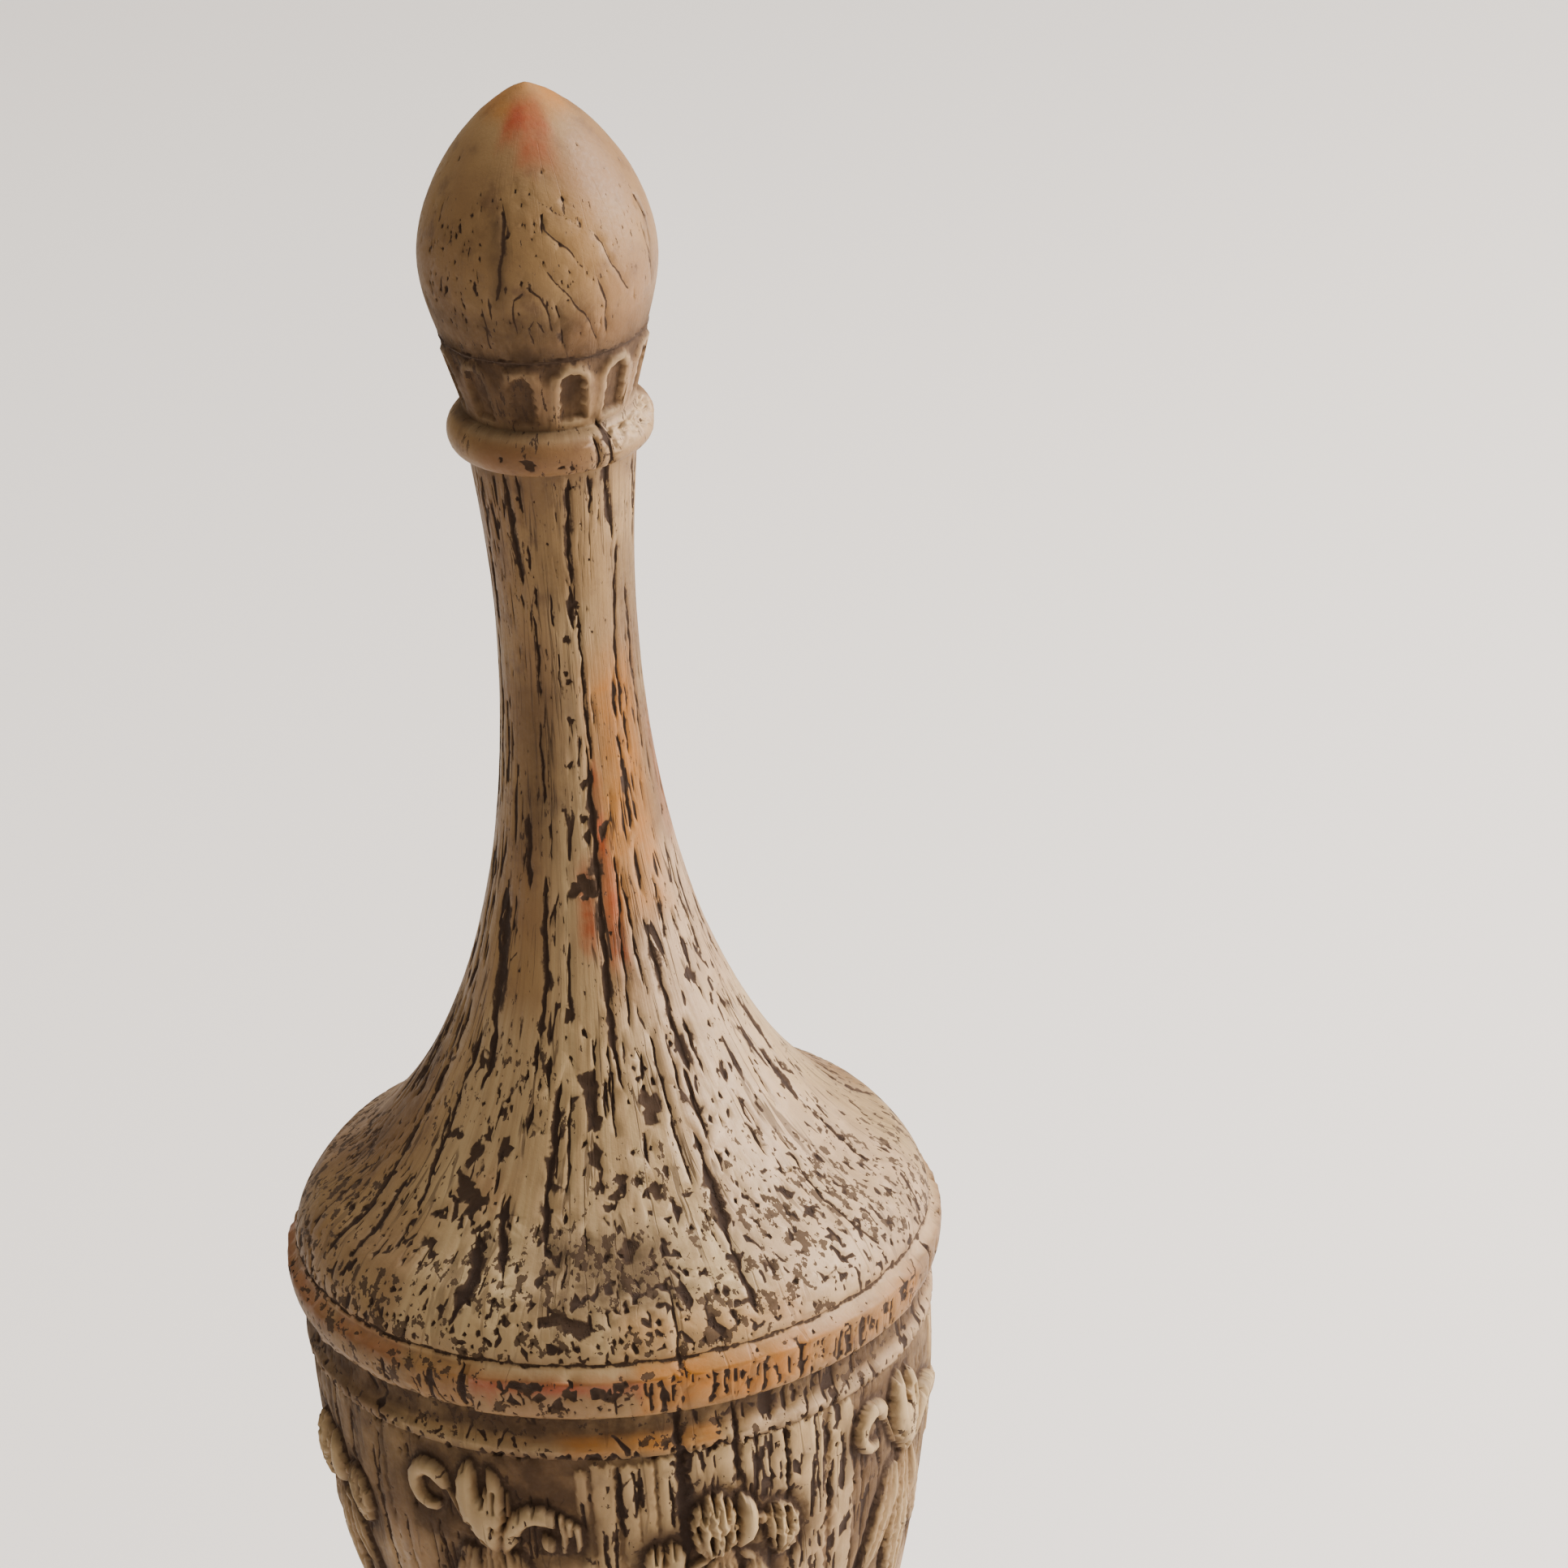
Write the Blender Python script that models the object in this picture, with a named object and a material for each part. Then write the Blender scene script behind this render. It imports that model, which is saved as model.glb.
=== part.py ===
# Ornamental urn: a tall covered urn with a flared bottle neck, an egg-shaped tip and a
# carved belly, cast in one piece to look like split old wood. Its cover doesn't lift off.
# Metres, +Z up. The origin is the centre of the flat underside, and -Y is the front.

from math import cos, pi, radians, sin

import bpy
import bmesh

# Heights, stacked from the underside up
FOOT_EDGE_HEIGHT = 0.0140
FOOT_BEAD_HEIGHT = 0.0090
FOOT_RISE = 0.0470
KNOP_HEIGHT = 0.0170
WAIST_HEIGHT = 0.0130
BELLY_HEIGHT = 0.1680
LIP_HEIGHT = 0.0035
COVE_HEIGHT = 0.0080
BAND_HEIGHT = 0.0105
SHOULDER_HEIGHT = 0.0150
FLARE_HEIGHT = 0.1350
NECK_HEIGHT = 0.0410
RING_HEIGHT = 0.0100
CUP_HEIGHT = 0.0180
EGG_LOWER_HEIGHT = 0.0160
EGG_UPPER_HEIGHT = 0.0385

# Radii
FOOT_RADIUS = 0.0610
FOOT_BEAD_RADIUS = 0.0570
FOOT_TOP_RADIUS = 0.0520
STEM_RADIUS = 0.0195
KNOP_RADIUS = 0.0300
WAIST_RADIUS = 0.0240
BELLY_RADIUS = 0.0704
LIP_RADIUS = 0.0716
COVE_RADIUS = 0.0700
BAND_LOWER_RADIUS = 0.0735
BAND_RADIUS = 0.0750
SHOULDER_RADIUS = 0.0720
SHOULDER_TOP_RADIUS = 0.0655
NECK_RADIUS = 0.0155
NECK_TOP_RADIUS = 0.0184
RING_RADIUS = 0.0226
CUP_RADIUS = 0.0234
EGG_SEAT_RADIUS = 0.0226
EGG_RADIUS = 0.0258
EGG_TIP_RADIUS = 0.0006

# How each curve leaves its lower end and comes in to its upper one: the radius added there,
# and the share of the curve's own height that it holds to it
FOOT_PULLS = ((-0.0200, 0.12), (0.0, 0.55))
BELLY_PULLS = ((0.0198, 0.18), (0.0011, 0.305))
SHOULDER_PULLS = ((0.0, 0.40), (0.0035, 0.27))
FLARE_PULLS = ((-0.0260, 0.11), (0.0, 0.575))
NECK_PULLS = ((0.0, 0.40), (-0.0012, 0.30))
EGG_LOWER_PULLS = ((0.0013, 0.27), (0.0, 0.37))
EGG_UPPER_PULLS = ((0.0, 0.46), (0.0102, 0.10))

# Band: rounded edges, and a stretch of it worn back from a break
BAND_ROUND = 0.0012
BAND_WEAR = 0.0012
BREAK_ANGLE = -27.5
WORN_SPAN = 118.0

# Arched niches around the cup
NICHE_COUNT = 12
NICHE_FIRST_ANGLE = -16.0
NICHE_WIDTH = 0.0056
NICHE_HEIGHT = 0.0120
NICHE_DEPTH = 0.0013
NICHE_SILL = 0.0022
NICHE_ARC_STEPS = 4

# Bite out of the ring, on the right of the front
CHIP_ANGLE = 62.0
CHIP_LENGTH = 0.0110
CHIP_HEIGHT = 0.0045
CHIP_DEPTH = 0.0032
CHIP_ROUGHNESS = 0.25

# Carving: buds with scrolls and open blooms take turns around the belly
MOTIF_PAIRS = 4
BUD_ANGLE = -29.0
BLOOM_ANGLE = 16.0
CARVING_DROP = 0.0360
CARVING_SINK = 0.0025
ARCH_STEPS = 4

# Section of a carved stroke: across in half widths, raised in heights, 0 for its sunk back
STROKE_SECTION = ((-1, 0.15), (-0.55, 0.9), (0.55, 0.9), (1, 0.15), (0.8, 0), (-0.8, 0))

# Facets
SEGMENTS = 40
CURVE_STEPS = 6
BEAD_STEPS = 4

CASTING_COLOUR = (0.42, 0.31, 0.19, 1.0)
CASTING_ROUGHNESS = 0.55


def stack(*heights):
    """Running totals of the heights, so each level rests on the one below."""
    levels = []
    total = 0.0
    for height in heights:
        total += height
        levels.append(total)
    return levels


(FOOT_EDGE_Z, FOOT_BEAD_Z, STEM_Z, KNOP_Z, WAIST_Z, BELLY_Z, LIP_Z, COVE_Z, BAND_Z,
 SHOULDER_Z, FLARE_Z, NECK_Z, RING_Z, CUP_Z, EGG_MIDDLE_Z, TIP_Z) = stack(
    FOOT_EDGE_HEIGHT, FOOT_BEAD_HEIGHT, FOOT_RISE, KNOP_HEIGHT, WAIST_HEIGHT, BELLY_HEIGHT,
    LIP_HEIGHT, COVE_HEIGHT, BAND_HEIGHT, SHOULDER_HEIGHT, FLARE_HEIGHT, NECK_HEIGHT,
    RING_HEIGHT, CUP_HEIGHT, EGG_LOWER_HEIGHT, EGG_UPPER_HEIGHT)
CARVING_Z = BAND_Z - CARVING_DROP


def sweep(start, end, pulls, steps):
    """Points along a cubic curve up from start to end, without its first one."""
    (out_start, up_start), (out_end, up_end) = pulls
    height = end[1] - start[1]
    corners = (start, (start[0] + out_start, start[1] + height * up_start),
               (end[0] + out_end, end[1] - height * up_end), end)
    points = []
    for step in range(1, steps + 1):
        t = step / steps
        s = 1 - t
        weights = (s ** 3, 3 * s * s * t, 3 * s * t * t, t ** 3)
        points.append(tuple(sum(w * c[axis] for w, c in zip(weights, corners)) for axis in (0, 1)))
    return points


def bead(radius, bottom, top, crest, steps):
    """Half-round moulding from (radius, bottom) up to (radius, top)."""
    points = []
    for step in range(1, steps):
        a = pi * step / steps
        middle = (bottom + top) / 2
        points.append((radius + (crest - radius) * sin(a), middle - (top - bottom) / 2 * cos(a)))
    return points


def belly_profile(steps):
    """The belly from the waist up to the lip, widening in one slow curve."""
    waist = (WAIST_RADIUS, WAIST_Z)
    return [waist] + sweep(waist, (BELLY_RADIUS, BELLY_Z), BELLY_PULLS, steps)


def belly_radius(z, samples=belly_profile(60)):
    """Radius of the plain belly at height z."""
    for (r0, z0), (r1, z1) in zip(samples, samples[1:]):
        if z <= z1:
            return r0 + (r1 - r0) * (z - z0) / (z1 - z0)
    return samples[-1][0]


def profile():
    """Outline of the turned form as (radius, height), from the underside to the tip."""
    points = [(FOOT_RADIUS - BAND_ROUND, 0.0), (FOOT_RADIUS, BAND_ROUND)]
    points += [(FOOT_RADIUS, FOOT_EDGE_Z - BAND_ROUND), (FOOT_BEAD_RADIUS - BAND_ROUND, FOOT_EDGE_Z)]
    points += bead(FOOT_TOP_RADIUS, FOOT_EDGE_Z, FOOT_BEAD_Z, FOOT_BEAD_RADIUS, BEAD_STEPS)
    foot_top = (FOOT_TOP_RADIUS, FOOT_BEAD_Z)
    points.append(foot_top)
    points += sweep(foot_top, (STEM_RADIUS, STEM_Z), FOOT_PULLS, CURVE_STEPS)
    points += bead(STEM_RADIUS, STEM_Z, KNOP_Z, KNOP_RADIUS, BEAD_STEPS)
    points.append((STEM_RADIUS, KNOP_Z))
    points.append(((STEM_RADIUS + WAIST_RADIUS) / 2 - BAND_ROUND, (KNOP_Z + WAIST_Z) / 2))
    points += belly_profile(CURVE_STEPS + 1)
    points += bead(BELLY_RADIUS, BELLY_Z, LIP_Z, LIP_RADIUS, BEAD_STEPS - 1)
    points.append((COVE_RADIUS, LIP_Z))
    points.append((COVE_RADIUS, COVE_Z))
    points.append((BAND_LOWER_RADIUS - BAND_ROUND, COVE_Z))
    points.append((BAND_LOWER_RADIUS, COVE_Z + BAND_ROUND))
    points.append((BAND_RADIUS, BAND_Z - BAND_ROUND))
    points.append((BAND_RADIUS - BAND_ROUND, BAND_Z))
    shoulder_foot = (SHOULDER_RADIUS, BAND_Z + BAND_ROUND)
    shoulder_top = (SHOULDER_TOP_RADIUS, SHOULDER_Z)
    neck_foot = (NECK_RADIUS, FLARE_Z)
    points.append(shoulder_foot)
    points += sweep(shoulder_foot, shoulder_top, SHOULDER_PULLS, BEAD_STEPS - 1)
    points += sweep(shoulder_top, neck_foot, FLARE_PULLS, CURVE_STEPS + 1)
    points += sweep(neck_foot, (NECK_TOP_RADIUS, NECK_Z), NECK_PULLS, BEAD_STEPS - 1)
    points += bead(NECK_TOP_RADIUS, NECK_Z, RING_Z, RING_RADIUS, BEAD_STEPS)
    points.append((NECK_TOP_RADIUS, RING_Z))
    points.append((CUP_RADIUS, CUP_Z))
    egg_seat = (EGG_SEAT_RADIUS, CUP_Z)
    egg_middle = (EGG_RADIUS, EGG_MIDDLE_Z)
    points.append(egg_seat)
    points += sweep(egg_seat, egg_middle, EGG_LOWER_PULLS, BEAD_STEPS - 1)
    points += sweep(egg_middle, (EGG_TIP_RADIUS, TIP_Z), EGG_UPPER_PULLS, CURVE_STEPS)
    return points


def worn_back(z, angle):
    """How far the band is worn back at this height and angle from the front, in degrees."""
    on_band = COVE_Z + BAND_ROUND / 2 < z < BAND_Z + BAND_ROUND / 2
    past_break = (BREAK_ANGLE - angle) % 360
    return BAND_WEAR if on_band and 0 < past_break < WORN_SPAN else 0.0


def to_world(angle, radius, z):
    """A point at an angle in degrees from the front, positive to the right."""
    a = radians(angle)
    return (radius * sin(a), -radius * cos(a), z)


def mesh_object(name, bm):
    """Closes the bmesh into an object with outward faces."""
    bmesh.ops.recalc_face_normals(bm, faces=bm.faces)
    mesh = bpy.data.meshes.new(name)
    bm.to_mesh(mesh)
    bm.free()
    piece = bpy.data.objects.new(name, mesh)
    bpy.context.scene.collection.objects.link(piece)
    return piece


def loft(bm, rings):
    """Skins rings of equal length one after another and caps both ends."""
    for lower, upper in zip(rings, rings[1:]):
        count = len(lower)
        for i in range(count):
            j = (i + 1) % count
            bm.faces.new((lower[i], lower[j], upper[j], upper[i]))
    bm.faces.new(list(reversed(rings[0])))
    bm.faces.new(rings[-1])


def turned_form():
    """The plain turned urn, with its worn stretch of band."""
    bm = bmesh.new()
    rings = []
    for radius, z in profile():
        ring = []
        for k in range(SEGMENTS):
            angle = 360 * k / SEGMENTS
            ring.append(bm.verts.new(to_world(angle, radius - worn_back(z, angle), z)))
        rings.append(ring)
    loft(bm, rings)
    return mesh_object("urn_casting", bm)


def combine(target, tool, operation):
    """Applies one Boolean to the target and deletes the tool."""
    step = target.modifiers.new(operation.lower(), "BOOLEAN")
    step.operation = operation
    step.solver = "EXACT"
    step.object = tool
    graph = bpy.context.evaluated_depsgraph_get()
    result = bpy.data.meshes.new_from_object(target.evaluated_get(graph))
    target.modifiers.clear()
    old = target.data
    target.data = result
    bpy.data.meshes.remove(old)
    bpy.data.objects.remove(tool)


def niche_cutter(angle):
    """Arch-topped prism that hollows one niche to an even depth in the sloping cup."""
    half = NICHE_WIDTH / 2
    sill = RING_Z + NICHE_SILL
    spring = sill + NICHE_HEIGHT - half
    outline = [(-half, sill), (half, sill)]
    for step in range(NICHE_ARC_STEPS + 1):
        a = pi * step / NICHE_ARC_STEPS
        outline.append((half * cos(a), spring + half * sin(a)))
    bm = bmesh.new()
    rings = []
    for reach in (-NICHE_DEPTH, NICHE_DEPTH * 2):
        ring = []
        for across, z in outline:
            slope = (z - RING_Z) / CUP_HEIGHT
            radius = NECK_TOP_RADIUS + (CUP_RADIUS - NECK_TOP_RADIUS) * slope + reach
            ring.append(bm.verts.new(to_world(angle + across / radius * 180 / pi, radius, z)))
        rings.append(ring)
    loft(bm, rings)
    return mesh_object("niche", bm)


def chip_cutter():
    """Rough lump that bites the upper outer edge off the ring."""
    bm = bmesh.new()
    bmesh.ops.create_icosphere(bm, subdivisions=2, radius=1.0)
    middle = RING_Z - CHIP_HEIGHT * 0.45
    for index, vert in enumerate(bm.verts):
        rough = 1 + CHIP_ROUGHNESS * sin(index * 2.3)
        along, out, up = (part * rough for part in vert.co)
        radius = RING_RADIUS + out * CHIP_DEPTH
        vert.co = to_world(CHIP_ANGLE + along * CHIP_LENGTH / RING_RADIUS * 180 / pi, radius,
                           middle + up * CHIP_HEIGHT)
    return mesh_object("chip", bm)


def stroke(name, path):
    """One carved stroke on the belly, facing the front until it is turned into place.

    Each stop of the path is (right, up, half width, height) in millimetres, measured from
    the carving's own centre. The section is half round and its back is sunk in the belly.
    """
    bm = bmesh.new()
    rings = []
    for index, (right, up, half_width, height) in enumerate(path):
        before = path[max(index - 1, 0)]
        after = path[min(index + 1, len(path) - 1)]
        run = (after[0] - before[0], after[1] - before[1])
        length = (run[0] ** 2 + run[1] ** 2) ** 0.5
        side = (run[1] / length, -run[0] / length)
        ring = []
        for across, raised in STROKE_SECTION:
            u = (right + side[0] * across * half_width) / 1000
            z = CARVING_Z + (up + side[1] * across * half_width) / 1000
            surface = belly_radius(z)
            lift = raised * height / 1000 if raised else -CARVING_SINK
            ring.append(bm.verts.new(to_world(u / surface * 180 / pi, surface + lift, z)))
        rings.append(ring)
    loft(bm, rings)
    return mesh_object(name, bm)


def arc_path(centre, radius, first, last, half_widths, height, steps):
    """Stops along an arc, angles in degrees counterclockwise from the right."""
    path = []
    for step in range(steps + 1):
        share = step / steps
        a = radians(first + (last - first) * share)
        slot = share * (len(half_widths) - 1)
        low = min(int(slot), len(half_widths) - 2)
        half_width = half_widths[low] + (half_widths[low + 1] - half_widths[low]) * (slot - low)
        path.append((centre[0] + radius * cos(a), centre[1] + radius * sin(a), half_width, height))
    return path


def leaf_path(top, tip, half_width, height, bow=0.0):
    """Stops down a plain pointed leaf, whose middle bows to the left of its line."""
    path = []
    for share, wide, high in ((0.0, 0.45, 0.6), (0.35, 1.0, 1.0), (0.7, 0.75, 0.8), (1.0, 0.12, 0.25)):
        right = top[0] + (tip[0] - top[0]) * share - bow * sin(pi * share)
        path.append((right, top[1] + (tip[1] - top[1]) * share, half_width * wide, height * high))
    return path


def bud_strokes():
    """A split bud between a small and a large scroll, over three hanging leaves."""
    return [
        [(-2.4, 10.5, 1.1, 1.5), (-3.2, 4.0, 2.8, 4.2), (-1.4, -5.0, 3.0, 4.2), (2.4, -11.5, 1.2, 1.6)],
        [(2.6, 9.0, 0.7, 1.5), (3.6, 4.0, 1.9, 3.6), (3.6, -2.0, 2.2, 4.0), (2.6, -9.0, 1.4, 2.6)],
        arc_path((-14.2, -1.2), 3.9, 15, 290, (1.3, 1.7, 1.8, 1.2, 0.8), 3.0, ARCH_STEPS + 1),
        arc_path((13.0, -7.0), 9.0, 187, 38, (1.3, 2.0, 2.1, 2.2), 3.4, ARCH_STEPS),
        [(20.8, 1.0, 1.0, 2.0), (22.6, -2.0, 2.3, 3.4), (22.2, -7.2, 1.6, 1.6)],
        [(16.4, -2.6, 0.8, 1.4), (16.6, -4.8, 1.6, 2.4), (16.2, -7.2, 0.9, 1.4)],
        leaf_path((1.0, -12.5), (0.0, -60.0), 5.4, 3.2),
        leaf_path((-5.0, -13.0), (-16.0, -42.0), 4.2, 2.6, bow=-2.5),
        leaf_path((7.0, -13.0), (16.0, -42.0), 4.2, 2.6, bow=2.5),
    ]


def bloom_strokes():
    """An open bloom between two lobes, over three hanging leaves."""
    return [
        [(-3.2, 1.8, 2.4, 1.8), (-3.6, -2.0, 4.2, 4.2), (-3.4, -9.0, 4.4, 4.2), (-2.6, -13.5, 2.4, 1.8)],
        [(3.4, 1.4, 1.0, 1.8), (4.6, -2.5, 2.2, 3.8), (4.4, -8.5, 2.2, 3.8), (2.8, -12.6, 1.0, 1.8)],
        [(10.4, -6.2, 2.0, 1.6), (12.0, -9.5, 3.7, 3.2), (12.8, -14.0, 3.2, 2.6), (12.2, -17.4, 1.6, 1.4)],
        [(-15.0, -6.6, 2.2, 1.6), (-15.6, -10.5, 4.2, 3.2), (-15.8, -15.0, 3.6, 2.8), (-14.6, -18.6, 1.8, 1.4)],
        leaf_path((0.0, -15.5), (0.0, -48.0), 5.0, 3.0),
        leaf_path((-6.5, -17.5), (-14.0, -36.0), 3.6, 2.4, bow=-2.0),
        leaf_path((6.5, -17.5), (14.0, -36.0), 3.6, 2.4, bow=2.0),
    ]


def motif(name, strokes):
    """The strokes of one motif joined into one tool."""
    first, *others = [stroke(name, path) for path in strokes]
    for other in others:
        combine(first, other, "UNION")
    return first


def turned_copy(source, angle):
    """A copy of a motif turned about the urn's axis to its place on the belly."""
    a = radians(angle)
    bm = bmesh.new()
    bm.from_mesh(source.data)
    for vert in bm.verts:
        x, y, z = vert.co
        vert.co = (x * cos(a) - y * sin(a), x * sin(a) + y * cos(a), z)
    return mesh_object(source.name + "_copy", bm)


def add_motifs(casting, name, strokes, first_angle):
    """Joins evenly spaced copies of one motif to the belly."""
    source = motif(name, strokes)
    for k in range(MOTIF_PAIRS):
        combine(casting, turned_copy(source, first_angle + 360 * k / MOTIF_PAIRS), "UNION")
    bpy.data.objects.remove(source)


def casting_material():
    """Cast resin painted as pale, weathered wood."""
    material = bpy.data.materials.new("painted_cast_resin")
    material.use_nodes = True
    shader = material.node_tree.nodes["Principled BSDF"]
    shader.inputs["Base Color"].default_value = CASTING_COLOUR
    shader.inputs["Roughness"].default_value = CASTING_ROUGHNESS
    shader.inputs["Metallic"].default_value = 0.0
    return material


def build_urn():
    """One casting: the turned form, its niches, its chip and its carving."""
    for old in list(bpy.data.objects):
        bpy.data.objects.remove(old)
    casting = turned_form()
    for k in range(NICHE_COUNT):
        combine(casting, niche_cutter(NICHE_FIRST_ANGLE + 360 * k / NICHE_COUNT), "DIFFERENCE")
    combine(casting, chip_cutter(), "DIFFERENCE")
    add_motifs(casting, "bud_motif", bud_strokes(), BUD_ANGLE)
    add_motifs(casting, "bloom_motif", bloom_strokes(), BLOOM_ANGLE)
    casting.data.name = casting.name
    casting.data.materials.clear()
    casting.data.materials.append(casting_material())
    casting.data.shade_smooth()
    casting.data.set_sharp_from_angle(angle=radians(35))


build_urn()
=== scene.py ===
# Ornamental urn: one resin casting painted as split old wood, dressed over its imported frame.
# Sizes in the dictionaries are millimetres and degrees. Angle 0 is the front, positive to the right.
from math import cos, pi, radians, sin
from types import SimpleNamespace

import bpy
import numpy as np
from mathutils import Matrix, Vector


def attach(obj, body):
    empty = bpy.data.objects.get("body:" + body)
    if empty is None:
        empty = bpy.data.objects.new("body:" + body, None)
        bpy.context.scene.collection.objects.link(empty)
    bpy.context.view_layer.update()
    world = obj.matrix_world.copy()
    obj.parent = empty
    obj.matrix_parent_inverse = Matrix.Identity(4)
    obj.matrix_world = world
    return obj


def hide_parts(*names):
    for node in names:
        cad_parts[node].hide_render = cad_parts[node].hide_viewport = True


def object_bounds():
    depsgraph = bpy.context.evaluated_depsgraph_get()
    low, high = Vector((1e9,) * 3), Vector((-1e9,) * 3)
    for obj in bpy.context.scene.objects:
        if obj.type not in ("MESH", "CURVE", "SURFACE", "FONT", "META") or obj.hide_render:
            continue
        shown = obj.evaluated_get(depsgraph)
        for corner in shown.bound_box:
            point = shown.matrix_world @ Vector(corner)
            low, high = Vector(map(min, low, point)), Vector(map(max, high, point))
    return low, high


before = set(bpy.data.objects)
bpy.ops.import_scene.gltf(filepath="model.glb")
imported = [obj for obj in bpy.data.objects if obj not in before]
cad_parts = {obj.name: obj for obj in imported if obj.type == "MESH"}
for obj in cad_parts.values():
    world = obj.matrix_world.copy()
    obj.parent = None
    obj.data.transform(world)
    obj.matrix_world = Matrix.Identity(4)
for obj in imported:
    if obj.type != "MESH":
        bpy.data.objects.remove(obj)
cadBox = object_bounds()
print("frame loaded, box", [tuple(round(v, 4) for v in corner) for corner in cadBox])

millimetre = 0.001
urnHeight = (cadBox[1].z - cadBox[0].z) / millimetre
tipAboveRim = 273.5  # the tip stands this far above the rim band's top edge
rimHeight = urnHeight - tipAboveRim


def linearColour(code):  # sRGB hex to linear, with alpha
    channels = [int(code[i:i + 2], 16) / 255 for i in (1, 3, 5)]
    return tuple(c / 12.92 if c <= 0.04045 else ((c + 0.055) / 1.055) ** 2.4 for c in channels) + (1.0,)


def addNode(tree, kind, values=None, **settings):  # a node with its settings, values and links
    made = tree.nodes.new(kind)
    for name, setting in settings.items():
        setattr(made, name, setting)
    for socket, value in (values or {}).items():
        if isinstance(value, bpy.types.NodeSocket):
            tree.links.new(value, made.inputs[socket])
        else:
            made.inputs[socket].default_value = value
    return made


# Camera, at the photograph's place: above the rim, looking down, with the horizon a little tilted
view = {"back": 1460.0, "aboveRim": 796.0, "down": 25.31, "turn": 1.77, "roll": -3.74, "lens": 167.7}


def addCamera():
    down, turn, roll = (radians(view[name]) for name in ("down", "turn", "roll"))
    ahead = Vector((sin(turn) * cos(down), cos(turn) * cos(down), -sin(down)))
    level = Vector((cos(turn), -sin(turn), 0))
    upward = level.cross(ahead)
    right = level * cos(roll) + upward * sin(roll)
    top = upward * cos(roll) - level * sin(roll)
    data = bpy.data.cameras.new("photoCamera")
    data.lens = view["lens"]
    data.sensor_width = 36
    camera = bpy.data.objects.new("photoCamera", data)
    place = Matrix((right, top, -ahead)).transposed().to_4x4()
    place.translation = Vector((0, -view["back"], rimHeight + view["aboveRim"])) * millimetre
    camera.matrix_world = place
    bpy.context.scene.collection.objects.link(camera)
    bpy.context.scene.camera = camera


addCamera()
print("camera placed")


# The turned outline. Levels are heights above the underside, radii are the real ones.
turned = {
    "footRadius": 61.0, "footEdge": 14.0, "footBead": 23.0, "beadRadius": 57.0, "footTop": 52.0,
    "stemRadius": 19.5, "stem": 70.0, "knopRadius": 30.0, "knop": 87.0, "waistRadius": 24.0, "waist": 100.0,
    "bellyRadius": 70.4, "belly": 268.0, "lipRadius": 71.6, "lip": 271.5, "coveRadius": 69.8, "cove": 279.5,
    "bandFoot": 73.5, "bandRadius": 75.0, "band": 290.0, "edge": 1.0,
    "shoulderRadius": 72.0, "shoulderTop": 65.5, "shoulder": 305.0,
    "neckRadius": 15.5, "neckTop": 18.4, "flare": 440.0, "neck": 481.0,
    "ringRadius": 22.6, "ring": 491.0, "cupRadius": 23.4, "cup": 509.0,
    "eggSeat": 22.6, "eggRadius": 25.8, "eggMiddle": 525.0, "tipRadius": 0.4,
    "columns": 1024, "softening": 0.16, "drawStep": 0.05,
}
# How far each curve's two handles lie from its two ends: outward and up
handles = {
    "foot": ((-20, 5.64), (0, -25.85)), "belly": ((19.8, 30.24), (1.1, -51.24)),
    "cove": ((-1.3, 1.2), (-0.4, -3)), "shoulder": ((0, 4.6), (3.5, -3.8)),
    "flare": ((-26, 14.85), (0, -77.625)), "neck": ((0, 16.4), (-1.2, -12.3)),
    "eggFoot": ((1.3, 4.3), (0, -5.9)), "egg": ((0, 17.7), (10.2, -3.8)),
}
# How far apart the rows of the surface lie, above each level, finest where the carving is
rowSteps = {0: 1.2, 100: 0.95, 185: 0.5, 266: 0.38, 293: 0.45, 345: 0.65, 480: 0.35, 509: 0.5, 570: 0.5}


def curve(name, start, end, steps=40):  # cubic stretch of the outline
    t = np.linspace(0, 1, steps + 1)[1:, None]
    s = 1 - t
    first, last = np.add(start, handles[name][0]), np.add(end, handles[name][1])
    return s ** 3 * np.array(start) + 3 * s * s * t * first + 3 * s * t * t * last + t ** 3 * np.array(end)


def halfRound(radius, low, high, crest, steps=20):  # bead moulding
    a = np.linspace(0, pi, steps + 1)
    return np.stack([radius + (crest - radius) * np.sin(a), (low + high) / 2 - (high - low) / 2 * np.cos(a)], 1)


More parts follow.
